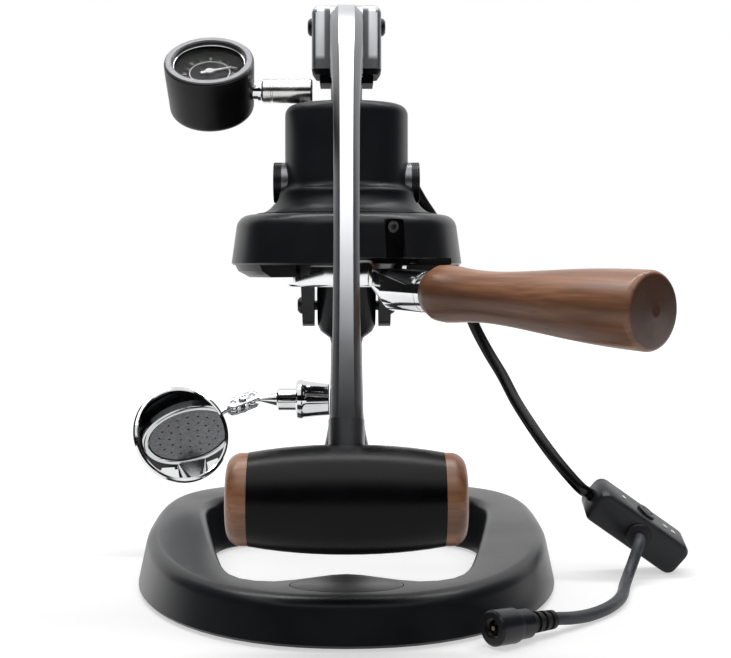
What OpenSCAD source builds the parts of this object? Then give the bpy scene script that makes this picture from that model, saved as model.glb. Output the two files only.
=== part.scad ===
// Manual lever espresso maker: ring base, curved post, lever press and bottomless portafilter.
// Millimetres. Z is up, X is right and Y is to the rear. The origin is on the table under the brew axis.
// Lever down is the rest pose. Set node to one name from NODES to draw that piece alone.

/* [Base] */
// Half of the base's width
base_half_w = 116; // [108:1:130]
// Front edge of the base, ahead of the brew axis
base_front = 130; // [120:1:145]
// Rear edge of the base, behind the brew axis
base_rear = 160; // [156:1:180]
// Where the base is widest, behind the brew axis
base_wide_y = 40; // [25:1:60]
// Top of the base at the front
base_front_h = 23; // [18:1:28]
// Top of the base at the rear, where the post stands
base_rear_h = 32; // [26:1:38]
// Half of the width of the hole at the table, where the base is widest
hole_half_w = 75.5; // [68:0.5:80]
// Front edge of the hole at the table, ahead of the brew axis
hole_front = 85; // [80:1:96]
// Rear edge of the hole at the table, behind the brew axis
hole_rear = 110; // [104:1:112]
// Turn of the hole's sides toward the front in degrees
hole_taper = 9; // [5:0.5:12]
// How much wider the hole is at its top than at the table
hole_draft = 4; // [1:0.5:6]
// How much wider the base is at the table than at its top
base_draft = 4; // [1:0.5:8]
// Rounding of the outer top edge
base_outer_round = 8; // [3:0.5:10]
// Rounding of the inner top edge
base_inner_round = 5; // [2:0.5:6]
// Diameter of a rubber foot
foot_d = 18; // [12:1:20]
// Height of a rubber foot
foot_h = 1; // [0.5:0.5:3]
// Length of the bare oval badge
badge_len = 54; // [30:1:60]
// Width of the bare oval badge
badge_w = 31; // [16:1:33]
// How far the front of the hole swells in behind the badge
badge_bump = 17; // [8:1:20]

/* [Post] */
// Front of the post's foot
post_foot_y = 121; // [118:1:124]
// Depth of the post's foot
post_foot_depth = 27; // [24:1:29]
// Half of the width of the foot
post_foot_half = 24; // [18:1:26]
// Half of the width of the post's stem
post_half = 9.8; // [9:0.2:11]
// Half of the width of the block that carries the collar
block_half = 18.2; // [15:0.1:20]
// Half of the width of the post's neck
neck_half = 9; // [8:0.5:10]
// Height of the post's top above the sleeve
post_rise = 15; // [13.5:0.5:16]
// Distance of the post bolts from the middle
post_bolt_x = 7.5; // [6.5:0.5:8]

/* [Fork] */
// Half of the width of the fork
fork_half = 19.5; // [18:0.5:22]
// Front face of the fork
fork_front = 14; // [13.5:0.5:16]
// Rear face of the fork
fork_rear = 47; // [44:0.5:50]
// Rounding of the fork's edges
fork_round = 5; // [2:0.5:7]
// Height of the ears above the fulcrum
ear_above = 11.5; // [10.5:0.5:14]
// Thickness of the shim under the fork
shim_t = 4.5; // [2:0.5:6]
// Half of the width of the shim
shim_half = 15; // [12:0.5:18]

/* [Collar] */
// Height of the collar's lower face above the table
group_z = 175; // [172:1:178]
// Height of the collar
collar_h = 27; // [26:1:30]
// Radius of the collar at its lower edge
collar_r = 62.6; // [60:0.2:64]
// Radius of the collar under its rounded top edge
collar_top_r = 60; // [57:0.2:61]
// Rounding of the top edge
collar_round = 7.5; // [4:0.5:8]
// Depth of the bayonet lips below the collar
lip_h = 6.5; // [5:0.5:8]
// Width of the recessed strip on the front
strip_w = 11; // [8:0.5:14]
// Depth of the recessed strip
strip_depth = 1.2; // [0.6:0.2:2]
// Angle of the strip from the front toward the right
strip_angle = 24; // [18:1:30]
// Distance of the lug bolts behind the brew axis
lug_y = 101; // [97:1:104]
// Drop of the lug bolts below the collar's lower face
lug_drop = 25; // [23:1:27]
// Radius of the lug around its bolt
lug_r = 13; // [10:0.5:14]
// Gap between the block and a lug
lug_gap = 1.5; // [0.5:0.25:2]
// Thickness of a lug
lug_t = 7.4; // [6:0.2:9]

/* [Cylinder] */
// Diameter of the brew bore
bore_d = 51; // [49:0.5:53]
// Wall of the brew cylinder
tube_wall = 3; // [2.5:0.25:3.5]
// Height of the sleeve above the collar
sleeve_h = 60; // [58:0.5:61]
// Thickness of the heater band
heater_t = 1.8; // [1:0.2:2]
// Outer radius of the sleeve
sleeve_r = 33.5; // [33:0.25:35]
// Radius of the sleeve's skirt at the collar
skirt_r = 49.2; // [46:0.2:52]
// Rounding of the sleeve's top edge
sleeve_round = 5.5; // [3:0.5:6]
// Radius of the flare at the foot of the sleeve
flare_r = 11; // [9:0.5:11.5]
// Height of the trunnions above the collar
trunnion_rise = 18; // [17:0.5:19]
// Diameter of the trunnion bosses
trunnion_d = 22; // [18:0.5:23]
// Gap between the bosses' outer faces
trunnion_span = 70.4; // [70:0.2:73]
// Thickness of the cradle's plates
cradle_t = 4.4; // [4:0.2:5]
// Front face of the cradle's bridge, behind the brew axis
cradle_y = 47.6; // [46:0.2:49]

/* [Piston and lever] */
// Stroke of the piston
stroke = 45; // [40:0.5:46]
// Swing of the lever in degrees
swing = 100; // [90:1:104]
// Height of the fulcrum above the post's top
fulcrum_rise = 32; // [30:0.5:34]
// Height of the piston's lower face above the collar with the lever down
piston_rise = 4; // [0:0.5:6]
// Height of the piston head
piston_h = 14; // [12:0.5:16]
// Diameter of the fulcrum pin
fulcrum_d = 9; // [7:0.5:10]
// Diameter of the drive pin
drive_d = 6; // [5:0.5:6]
// Diameter of the piston rod
rod_d = 12; // [10:0.5:12]
// Thickness of the rod's tongue
tongue_t = 8; // [6:0.5:8]
// Width of the lever at the fulcrum
lever_root_w = 18; // [16:0.5:20]
// Width of the lever at its middle
lever_mid_w = 12.8; // [11:0.2:15]
// Width of the lever at the handle
lever_end_w = 15; // [13:0.5:16]
// Radius of the lever's eye
eye_r = 12.3; // [11:0.1:12.3]

/* [Handle] */
// Distance of the handle ahead of the brew axis
handle_y = 132; // [126:1:138]
// Height of the handle's axis
handle_z = 69.5; // [64:0.5:78]
// Length of the black grip
grip_len = 88; // [80:1:100]
// Diameter of the grip at its middle
grip_mid_d = 49; // [44:0.5:52]
// Diameter of the grip at its ends
grip_end_d = 42; // [38:0.5:46]
// Length of a wooden end cap
cap_len = 9.8; // [7.4:0.2:12]
// Diameter of the core rod
core_d = 26; // [24:0.5:28]
// Diameter of the lever's tang
tang_d = 16.6; // [14:0.2:17]

/* [Portafilter] */
// Radius of the portafilter's ring
filter_r = 35; // [34:0.1:35.5]
// Depth of the ring below the collar
filter_drop = 11.5; // [10:0.5:13]
// Angle of the handle from the front toward the right
filter_angle = 40; // [38:1:44]
// Downward slope of the handle
filter_slope = 2.5; // [0:0.5:4]
// Start of the wood from the brew axis
wood_start = 69; // [66:1:74]
// End of the wood from the brew axis
wood_end = 208; // [195:1:215]
// Rounding of the edge at the wooden handle's far end
wood_round = 3; // [2:0.5:7]
// How far the wooden handle's end face swells out
wood_crown = 1.2; // [0.2:0.2:3]
// Largest radius of the wood, near its end
wood_r = 18; // [16:0.2:19]
// Radius of the chrome neck
neck_r = 11.2; // [10:0.2:11.6]
// Height of the handle's axis at the brew axis, below the collar
wood_drop = 11; // [10:0.5:12]
// Diameter of the handle's steel stud
stud_d = 10; // [8:0.5:12]
// Length of the stud in the wood
stud_in_wood = 49; // [40:1:60]
// Length of the stud in the neck
stud_in_neck = 13; // [11:0.5:14]

/* [Gauge] */
// Distance of the gauge from the brew axis
gauge_x = 74; // [72:0.5:78]
// Gap between the sleeve and the gauge's barrel with the lever down
gauge_gap = 1.3; // [0.8:0.1:3]
// Upward tilt of the dial in degrees
gauge_tilt = 50; // [30:1:60]
// Radius of the gauge case
gauge_r = 24.2; // [22:0.2:25]
// Depth of the gauge case
gauge_depth = 33; // [27:0.5:36]
// Depth of the dial below the rim
dial_drop = 8; // [6:0.5:9]
// Radius of the window
window_r = 19.6; // [17:0.2:20.5]
// Diameter of the chrome barrel
barrel_d = 13.4; // [12:0.2:14]
// Diameter of the riser tube
riser_d = 5; // [4.6:0.2:5.6]

/* [Mirror] */
// Height of the magnet on the post
magnet_z = 89.5; // [86:0.5:96]
// Largest diameter of the magnet's cup
magnet_d = 26; // [20:0.5:28]
// Length of the magnet's cup
magnet_len = 21; // [18:0.5:24]
// Length of the rod from the magnet's cup to its ball
magnet_rod = 28; // [24:0.5:32]
// Radius of the mirror's frame
mirror_r = 30.5; // [24:0.5:33]
// Turn of the mirror to the right in degrees
mirror_turn = 24; // [20:1:32]
// Upward tilt of the mirror in degrees
mirror_tilt = 22; // [16:1:26]
// Distance between the knuckle's balls
knuckle_len = 13.5; // [12:0.5:20]
// Lean of the knuckle's plates toward the front in degrees
knuckle_lean = 30; // [20:1:40]
// Diameter of a ball
ball_d = 6; // [5:0.2:6.4]

/* [Controller] */
// Length of the controller
box_len = 63; // [56:1:68]
// Height of the controller's face
box_h = 20; // [18:0.5:26]
// Thickness of the controller
box_t = 24; // [22:0.5:26]
// Rounding of the controller's edges
box_round = 5; // [3:0.5:6]
// Wall of the controller
box_wall = 2; // [1.4:0.2:2.4]
// Height of the joint between the controller's shells above its middle
box_split = 6; // [5:0.5:7]
// Diameter of the lead
lead_d = 6.8; // [5:0.1:7]
// Diameter of the pigtail
pigtail_d = 6.2; // [4:0.1:7]
// Diameter of the jack
jack_d = 16.4; // [15:0.2:17]
// Length of the jack's shell
jack_len = 24; // [20:0.5:28]
// Length of the jack's ribbed relief
relief_len = 16.5; // [14:0.5:20]

/* [Fasteners] */
// Diameter of the post, lug and trunnion bolts
bolt_d = 6; // [5:0.5:6.5]
// Diameter of the cradle bolts
cradle_bolt_d = 5; // [4:0.5:5.5]
// Diameter of the collar's set screw
set_screw_d = 6; // [4:0.5:7]
// Diameter of the fork and handle bolts
fork_bolt_d = 8; // [6:0.5:8.5]

/* [Fits] */
// Clearance round a pin that turns
run_fit = 0.05; // [0.02:0.01:0.1]
// Clearance between pieces that are fixed together
seat_fit = 0.1; // [0.05:0.01:0.2]
// Clearance between pieces that pass each other
pass_fit = 0.3; // [0.2:0.05:0.5]

/* [Hidden] */
$fn = 64;
// Smallest distance that keeps two faces from lying in one plane
step = 0.02;

// Helpers for curves: a signed power, a point on a Bezier curve and a smooth value between keys
function signed_pow(v, p) = sign(v) * pow(abs(v), p);
function bezier(a, b, c, d, s) =
  pow(1 - s, 3) * a + 3 * pow(1 - s, 2) * s * b + 3 * (1 - s) * s * s * c + pow(s, 3) * d;
function bezier_way(a, b, c, d, s) =
  3 * pow(1 - s, 2) * (b - a) + 6 * (1 - s) * s * (c - b) + 3 * s * s * (d - c);
function unit(v) = v / norm(v);
function ease(t) = let (c = min(1, max(0, t))) c * c * (3 - 2 * c);
function key_slope(k, i) =
  let (a = max(i - 1, 0), b = min(i + 1, len(k) - 1)) (k[b][1] - k[a][1]) / (k[b][0] - k[a][0]);
function key_span(k, i, s) =
  let (h = k[i + 1][0] - k[i][0], t = (s - k[i][0]) / h)
  k[i][1] * (2 * pow(t, 3) - 3 * t * t + 1) + key_slope(k, i) * h * (pow(t, 3) - 2 * t * t + t)
  + k[i + 1][1] * (3 * t * t - 2 * pow(t, 3)) + key_slope(k, i + 1) * h * (pow(t, 3) - t * t);
function smooth_key(k, s, i = 0) =
  (i >= len(k) - 2 || s <= k[i + 1][0]) ? key_span(k, i, s) : smooth_key(k, s, i + 1);
function arc(c, r, a, b, n) = [for (i = [0:n]) c + r * [cos(a + (b - a) * i / n), sin(a + (b - a) * i / n)]];

// A solid skinned over closed sections, either end to end or round in a loop
module skin(sections, loop = false) {
  n = len(sections[0]);
  m = len(sections);
  sides = [for (i = [0:loop ? m - 1 : m - 2]) for (j = [0:n - 1]) for (half = [0, 1])
    let (a = i * n + j, b = i * n + (j + 1) % n, c = ((i + 1) % m) * n + (j + 1) % n,
      d = ((i + 1) % m) * n + j)
    half == 0 ? [a, b, c] : [a, c, d]];
  caps = loop ? [] : [[for (j = [n - 1:-1:0]) j], [for (j = [0:n - 1]) (m - 1) * n + j]];
  polyhedron(points = [for (s = sections) for (p = s) p], faces = concat(sides, caps), convexity = 8);
}

// Children placed at a point with their X axis along x and their Z axis along z
module placed(p, x, z) {
  y = cross(z, x);
  multmatrix([[x[0], y[0], z[0], p[0]], [x[1], y[1], z[1], p[1]], [x[2], y[2], z[2], p[2]], [0, 0, 0, 1]])
    children();
}

// Children with their Z axis turned to the right
module along_x() {
  rotate([0, 90, 0])
    children();
}

// A tube of n sides swept along route points, with its rings spread evenly between them
function route_at(route, s) = smooth_key([for (i = [0:len(route) - 1]) [i, route[i]]], s);
function route_ring(route, s, r, n, up) =
  let (e = 0.02, a = max(s - e, 0), b = min(s + e, len(route) - 1), way = unit(route_at(route,
    b) - route_at(route, a)),
    side = unit(cross(way, up)), top = cross(side, way), p = route_at(route, s))
  [for (j = [0:n - 1]) p + r * (cos(j * 360 / n) * side + sin(j * 360 / n) * top)];
module route_tube(route, r, n, per, up) {
  last = (len(route) - 1) * per;
  skin([for (i = [0:last]) [for (p = route_ring(route, i / per, r, n, up)) p]]);
}

// Base outlines from above: the reach from the base's middle at an angle, for its rim and for its hole
front_power = 2.15;
rear_power = 3.2;
hole_front_power = 9;
hole_rear_power = 3;
bump_half = 38;
function soft_reach(a, b, power) = pow(pow(abs(a), power) + pow(abs(b), power), -1 / power);
function rim_reach(t) =
  sin(t) < 0 ? soft_reach(cos(t) / base_half_w, sin(t) / (base_front + base_wide_y), front_power)
  : soft_reach(cos(t) / base_half_w, sin(t) / (base_rear - base_wide_y), rear_power);
function hole_side(t) =
  max(0, abs(cos(t)) * cos(hole_taper) - sin(t) * sin(hole_taper)) / (hole_half_w * cos(hole_taper));
function hole_reach(t) =
  let (front = soft_reach(hole_side(t), sin(t) / (hole_front + base_wide_y), hole_front_power))
  sin(t) < 0 ? front - badge_bump * ease(1 - abs(front * cos(t)) / bump_half)
  : soft_reach(hole_side(t), sin(t) / (hole_rear - base_wide_y), hole_rear_power);
function base_top(y) =
  base_front_h + (base_rear_h - base_front_h) * ease((y + base_front) / (base_front + hole_rear + 4));
function base_section(t) =
  let (way = [cos(t), sin(t)], start = hole_reach(t), w = rim_reach(t) - start,
    h = base_top(base_wide_y + way[1] * (start + w / 2)),
    inner = arc([hole_draft + base_inner_round, h - base_inner_round], base_inner_round, 172, 90, 4),
    outer = arc([w - base_draft - base_outer_round, h - base_outer_round], base_outer_round, 90, 8, 6),
    flat = concat([[1, foot_h], [0, foot_h + 1]], inner, outer, [[w, foot_h + 1.5], [w - 1.5, foot_h]]))
  [for (f = flat) [way[0] * (start + f[0]), base_wide_y + way[1] * (start + f[0]), f[1]]];
base_rows = 96;
badge_y = -(base_front + hole_front - badge_bump) / 2;
badge_z = base_top(badge_y);
badge_deep = 1.2;
foot_front = [42, -base_front + 28];
foot_rear = [78, base_rear - 42];

// Heights that stand on one another
collar_top = group_z + collar_h;
sleeve_top = collar_top + sleeve_h;
trunnion_z = collar_top + trunnion_rise;
post_top = sleeve_top + post_rise;
fulcrum_z = post_top + fulcrum_rise;
piston_z = collar_top + piston_rise;
gauge_z = sleeve_top + barrel_d / 2 + gauge_gap;
lug_z = group_z - lug_drop;

// Post: front, rear and half width at each height
post_foot_rear = post_foot_y + post_foot_depth;
post_keys = [
  [base_rear_h, [post_foot_y, post_foot_rear, post_foot_half]],
  [base_rear_h + 6, [post_foot_y - 0.4, post_foot_rear - 0.4, post_foot_half - 3.5]],
  [base_rear_h + 16, [118.3, 146.8, post_half + 7.6]],
  [base_rear_h + 28, [115, 145, post_half + 4.2]],
  [base_rear_h + 44, [109.5, 142, post_half + 1.4]],
  [base_rear_h + 58, [105, 139, post_half + 0.8]],
  [lug_z - 26, [94.4, 131.5, post_half]],
  [lug_z - 20.5, [92.7, 130.1, post_half + 0.5]],
  [lug_z - 16.5, [91.5, 129.2, block_half - 2.4]],
  [lug_z - 12.5, [90.2, 128.1, block_half - 0.2]],
  [lug_z - 6, [88.2, 126.4, block_half]],
  [lug_z + 12, [83, 121, block_half]],
  [lug_z + 22, [79.5, 117, block_half - 2]],
  [lug_z + 32, [76, 112, neck_half + 2]],
  [lug_z + 46, [71.5, 105.5, neck_half + 0.4]],
  [trunnion_z - 8, [64, 97, neck_half + 0.2]],
  [trunnion_z + 10, [54, 87, neck_half]],
  [trunnion_z + 28, [45.5, 75, neck_half]],
  [sleeve_top, [38.5, 65, neck_half]],
  [post_top - 5, [27, 55, neck_half]],
  [post_top, [19, 50, neck_half]]];
function post_section(z) =
  let (k = smooth_key(post_keys, z), mid = (k[0] + k[1]) / 2, deep = (k[1] - k[0]) / 2)
  [for (j = [0:19]) let (a = -j * 18) [k[2] * signed_pow(cos(a), 0.45), mid + deep * signed_pow(sin(a),
    0.45), z]];
post_rows = 60;
magnet_y = (smooth_key(post_keys, magnet_z)[0] + smooth_key(post_keys, magnet_z)[1]) / 2;

// Press: the drive pin swings evenly above and below the fulcrum and stays near the brew axis
crank_r = stroke / (2 * sin(swing / 2));
fulcrum_y = crank_r * (1 + cos(swing / 2)) / 2;
fulcrum = [fulcrum_y, fulcrum_z];
drive = [fulcrum_y - crank_r * cos(swing / 2), fulcrum_z - crank_r * sin(swing / 2)];
drive_side = crank_r * (1 - cos(swing / 2)) / 2;
drive_lag = crank_r * (sin(swing / 4) - sin(swing / 2) / 2);
tongue_slot_half = drive_side + drive_d / 2 + pass_fit;
tongue_slot_h = drive_d + 2 * drive_lag + pass_fit;
tongue_half = tongue_slot_half + 3.4;
tongue_h = tongue_slot_h + 8;
lever_half = lever_root_w / 2;
fork_slot = lever_half + pass_fit;
pocket_r = norm([tongue_half + drive_side, tongue_h / 2]) + 0.8;
pocket_half = tongue_t / 2 + pass_fit;
drive_boss_r = 8;
neck_len = 21.5;
fork_bottom = post_top + shim_t;
fork_top = fulcrum_z + ear_above;

// Lever: a curve from the fulcrum to the handle with depth and width keys along it
handle = [-handle_y, handle_z];
tang_way = unit([-0.27, -0.963]);
tang_top = handle - tang_way * 34;
lever_a = fulcrum;
lever_b = [-45, fulcrum_z - 3];
lever_c = tang_top - tang_way * 118;
lever_d = tang_top;
lever_outer = [[0, eye_r - 0.1], [0.1, 11.6], [0.3, 9.5], [0.5, 7.6], [0.8, 7], [1, 7.2]];
lever_inner = [[0, 9], [0.05, 15], [0.1, 24], [0.16, 25.5], [0.25, 19], [0.35, 12.5], [0.5, 8.6], [0.8,
  7], [1, 7.2]];
lever_width = [[0, lever_half - 0.1], [0.2, lever_half - 0.2], [0.4, lever_mid_w / 2 + 0.8],
  [0.6, lever_mid_w / 2], [0.85, lever_mid_w / 2], [1, lever_end_w / 2]];
function lever_section(s) =
  let (p = bezier(lever_a, lever_b, lever_c, lever_d, s), way = unit(bezier_way(lever_a, lever_b,
    lever_c, lever_d, s)),
    out = [way[1], -way[0]], to = smooth_key(lever_outer, s), ti = smooth_key(lever_inner, s),
    w = smooth_key(lever_width, s), f = w * 0.5, b = min(4, w * 0.55),
    flat = [[f, to], [w - 0.5, to - b], [w, to - b - 1.4], [w, 2.5 - ti], [w - 1.2, 0.7 - ti], [w - 3, -ti],
      [3 - w, -ti], [1.2 - w, 0.7 - ti], [-w, 2.5 - ti], [-w, to - b - 1.4], [0.5 - w, to - b], [-f, to]])
  [for (q = flat) [q[0], p[0] + out[0] * q[1], p[1] + out[1] * q[1]]];
lever_rows = 40;

// Brew head
bore_r = bore_d / 2;
tube_r = bore_r + tube_wall;
sleeve_in = tube_r + heater_t + 2 * pass_fit;
bayonet_r = 43.5;
bayonet_h = 6.5;
seat_r = filter_r + 1.6;
flange_z = group_z + 15.5;
flange_h = 6.5;
gasket_h = 7;
rim_z = flange_z - gasket_h;
tube_top = sleeve_top - 2.6;
shoulder_r = 2.8;
fillet_r = 4.2;
flare_mid = [skirt_r - 0.2, collar_top + 0.8 + flare_r];
shoulder_mid = [flare_mid[0] - flare_r - shoulder_r + 0.05, flare_mid[1] - 0.3];
fillet_mid = [sleeve_r + fillet_r, shoulder_mid[1] + 6.5];
lug_in = block_half + lug_gap;
lug_out = lug_in + lug_t;
arm_in = trunnion_span / 2;
arm_out = arm_in + cradle_t;
arm_h = trunnion_d;
head_sink = 1.8;
head_d = bolt_d + 4;
bridge_rear = cradle_y + cradle_t;

// Portafilter: the way of its handle and the angles of the bayonet
filter_way = [sin(filter_angle), -cos(filter_angle)];
filter_deg = filter_angle - 90;
lip_start = filter_deg + 63;
lip_turn = 30;
lug_turn = 18;
wood_z = group_z - wood_drop;
neck_start = filter_r + 5;
wood_side = wood_end - wood_start - wood_crown - wood_round - 0.8;
wood_keys = [[0, 0.64], [0.012, 0.7], [0.04, 0.785], [0.075, 0.81], [0.11, 0.795], [0.17, 0.75], [0.24,
  0.715],
  [0.32, 0.71], [0.42, 0.745], [0.54, 0.815], [0.66, 0.89], [0.78, 0.95], [0.9, 0.985], [1, 0.995]];
function wood_radius(s) = wood_r * smooth_key(wood_keys, s);

// Gauge
gauge_way = [0, -cos(gauge_tilt), sin(gauge_tilt)];
gauge_pos = [-gauge_x, 0, gauge_z];
gauge_front = 20;
gauge_back = gauge_front - gauge_depth;
dial_at = gauge_front - dial_drop;
barrel_end = gauge_x - gauge_r - 3.5;
riser_x = bore_r - riser_d / 2 - 0.9;
barrel_stop = riser_x - riser_d / 2 - 1;
needle_angle = 20;

// Mirror: the ball on the magnet, the knuckle and the frame
magnet_face_r = magnet_d / 2 - 3.4;
boss_r = 7.2;
magnet_x = -(smooth_key(post_keys, magnet_z - magnet_face_r)[2] + seat_fit);
ball_one = [magnet_x - magnet_len - magnet_rod, magnet_y, magnet_z];
mirror_way = [cos(mirror_tilt) * sin(mirror_turn), -cos(mirror_tilt) * cos(mirror_turn), sin(mirror_tilt)];
stem_hint = [0.758, 0.532, 0.37];
stem_way = unit(stem_hint - (stem_hint * mirror_way) * mirror_way);
knuckle_way = unit([-0.85, -0.44, -0.29]);
knuckle_tall = unit([0, 0, 1] - knuckle_way[2] * knuckle_way);
knuckle_up = cos(knuckle_lean) * knuckle_tall + sin(knuckle_lean) * cross(knuckle_tall, knuckle_way);
ball_two = ball_one + knuckle_way * knuckle_len;
stem_len = 9;
mirror_at = ball_two - stem_way * (stem_len + mirror_r);
plate_in = 2.35;
plate_t = 1.3;
plate_half = 4.4;

// Controller: its long axis falls to the right and its face looks to the front
box_yaw = 10;
box_fall = 35;
box_roll = 20;
box_at = [164, 31.6, 26.6];
box_way = [cos(box_yaw) * cos(box_fall), sin(box_yaw) * cos(box_fall), -sin(box_fall)];
box_level = [sin(box_yaw), -cos(box_yaw), 0];
box_face = cos(box_roll) * box_level - sin(box_roll) * cross(box_level, box_way);
lead_end = box_at - box_way * (box_len / 2 - 1.8);
pigtail_start = box_at + box_face * (box_t / 2 + 2.5);

// Routes of the two cords, chosen by eye from the photograph
gland_angle = 62;
gland_way = [cos(gland_angle), sin(gland_angle), 0];
gland_z = sleeve_top - 21;
gland_len = 8;
gland_d = 8;
lead_start = (sleeve_r + gland_len) * gland_way + [0, 0, gland_z];
lead_route = [lead_start, lead_start + 5 * gland_way, [26, 49, 239.5], [31, 55.5, 235], [35.5, 60, 229],
  [40, 62.5, 221],
  [45, 64, 212.5], [50, 64.5, 205], [56.5, 65.5, 194.5], [62, 67.5, 179], [68.5, 70, 160], [76, 71, 140],
  [84, 68, 124], [92, 61.5, 110], [99, 53, 95.5], [107, 43.5, 82], [115, 35.5, 70], [123, 29.5, 59.5],
  lead_end - 10 * box_way, lead_end - 4 * box_way, lead_end];
jack_way = unit([-0.773, -0.627, 0.06]);
jack_at = [66.2, -124, jack_d / 2 + 0.9];
jack_top = unit([0, 0, 1] - jack_way[2] * jack_way);
jack_step = 0.58 * jack_len;
pigtail_end = jack_at - jack_way * (jack_len + relief_len);
pigtail_route = [pigtail_start, pigtail_start + 3 * box_face, [161.5, 9.5, 19], [157.5, 5, 11.2],
  [153, -3, 5.2],
  [148.5, -17, 3.4], [145, -31, 3.3], [140.5, -44.5, 3.3], [134.5, -57, 3.3], [127, -68.5, 3.3],
  [118, -79, 3.6], [108.6, -88.8, 4.9], pigtail_end - 5 * jack_way, pigtail_end - 2 * jack_way, pigtail_end];

module badge_oval(h, grow) {
  linear_extrude(height = h)
    polygon([for (a = [0:7.5:352.5]) [(badge_len / 2 + grow) * cos(a), (badge_w / 2 + grow) * sin(a)]]);
}

module base_ring() {
  color("#232426")
    difference() {
      skin([for (k = [0:base_rows - 1]) base_section(k * 360 / base_rows)], true);
      translate([0, badge_y, badge_z - badge_deep])
        badge_oval(5, pass_fit);
      for (x = [-1, 1])
        translate([x * post_bolt_x, post_foot_y + post_foot_depth / 2, 0]) {
          cylinder(h = base_rear_h + 1, d = bolt_d + 2 * seat_fit);
          cylinder(h = foot_h + 12, d = 11);
        }
    }
}

module base_feet() {
  color("#101112")
    for (p = [foot_front, foot_rear])
      for (x = [-1, 1])
        translate([x * p[0], p[1], 0])
          cylinder(h = foot_h, d = foot_d);
}

module base_badge() {
  color("#2c2d30")
    translate([0, badge_y, badge_z - badge_deep + step])
      badge_oval(badge_deep, 0);
}

module post() {
  color("#242527")
    difference() {
      union() {
        skin([for (k = [0:post_rows]) post_section(base_rear_h + (post_top - base_rear_h) * k / post_rows)]);
        translate([0.4 - neck_half, bridge_rear, trunnion_z - arm_h / 2])
          cube([2 * neck_half - 0.8, 16, arm_h]);
      }
      for (x = [-1, 1]) {
        translate([x * post_bolt_x, post_foot_y + post_foot_depth / 2, base_rear_h - 1])
          cylinder(h = 14, d = bolt_d + 2 * seat_fit);
        translate([x * (block_half + 1), lug_y, lug_z])
          rotate([0, -90 * x, 0])
            cylinder(h = 15, d = bolt_d + 2 * seat_fit);
        translate([0, bridge_rear - 1, trunnion_z + 6 * x])
          rotate([-90, 0, 0])
            cylinder(h = 15, d = cradle_bolt_d + 2 * seat_fit);
      }
      translate([0, fork_rear - 6, post_top - 20])
        cylinder(h = 20 + step, d = fork_bolt_d + 2 * seat_fit);
    }
}

module post_bolts() {
  color("#1b1c1e")
    for (x = [-1, 1])
      translate([x * post_bolt_x, post_foot_y + post_foot_depth / 2, 0]) {
        translate([0, 0, foot_h + 6])
          difference() {
            cylinder(h = 6 - step, d = 10);
            translate([0, 0, -1])
              cylinder(h = 4, d = 5.8, $fn = 6);
          }
        translate([0, 0, foot_h + 11])
          cylinder(h = base_rear_h - foot_h + 1, d = bolt_d);
      }
}

module fork_shim() {
  color("#17181a")
    translate([0, 0, post_top])
      difference() {
        translate([-shim_half, fork_front + 6, 0])
          cube([2 * shim_half, fork_rear - fork_front - 8, shim_t]);
        translate([0, fork_rear - 6, -1])
          cylinder(h = shim_t + 2, d = fork_bolt_d + 2 * seat_fit);
      }
}

module lever_fork() {
  color("#4a4c50")
    difference() {
      hull()
        for (x = [fork_round - fork_half, fork_half - fork_round])
          for (y = [fork_front + fork_round, fork_rear - fork_round])
            translate([x, y, 0]) {
              translate([0, 0, fork_top - fork_round])
                sphere(r = fork_round, $fn = 32);
              translate([0, 0, fork_bottom])
                cylinder(h = 3, r1 = fork_round - 2, r2 = fork_round, $fn = 32);
            }
      translate([-fork_slot, 0, 0])
        rotate([90, 0, 90])
          linear_extrude(height = 2 * fork_slot)
            polygon(concat([[fork_front - 1, drive[1] - drive_boss_r - 2], [drive[0] + 6.7, drive[1] - 5.6]],
              [fulcrum + (eye_r + 0.8) * [0.768, -0.641], [fork_rear - 12, fulcrum_z - 8]],
              [[fork_rear - 11.5, fulcrum_z - 12], [fork_rear + 1, fulcrum_z - 12]],
              [[fork_rear + 1, fork_top + 1], [fork_front - 1, fork_top + 1]]));
      translate([-fork_half - 1, fulcrum_y, fulcrum_z])
        along_x()
          cylinder(h = 2 * fork_half + 2, d = fulcrum_d + 2 * run_fit);
      translate([0, fork_rear - 6, fork_bottom - 1])
        cylinder(h = 40, d = fork_bolt_d + 2 * seat_fit);
    }
}

module fork_bolt() {
  color("#1b1c1e")
    translate([0, fork_rear - 6, 0]) {
      translate([0, 0, post_top - 16])
        cylinder(h = fulcrum_z - 12 - post_top + 16, d = fork_bolt_d);
      translate([0, 0, fulcrum_z - 12])
        difference() {
          cylinder(h = 5, d = 10.5);
          translate([0, 0, 2])
            cylinder(h = 4, d = 5.8, $fn = 6);
        }
    }
}

module collar_lip(deg) {
  rotate([0, 0, deg])
    rotate_extrude(angle = lip_turn)
      polygon([[seat_r, group_z + 0.2], [seat_r, group_z - lip_h], [collar_r - 9, group_z - lip_h],
        [collar_r - 3, group_z - lip_h / 2], [collar_r - 1.2, group_z + 0.2]]);
}

module collar_lug(x) {
  translate([x > 0 ? lug_in : -lug_out, 0, 0])
    rotate([90, 0, 90])
      linear_extrude(height = lug_t)
        difference() {
          union() {
            translate([lug_y, lug_z])
              circle(r = lug_r);
            polygon([[46, group_z + 2], [lug_y - lug_r * 0.8, lug_z - lug_r * 0.6], [lug_y + lug_r, lug_z],
              [lug_y + lug_r * 0.9, lug_z + lug_r * 0.45], [72, collar_top - 8], [46, collar_top - 2]]);
          }
          translate([lug_y, lug_z])
            circle(d = bolt_d + 2 * seat_fit);
        }
}

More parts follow.
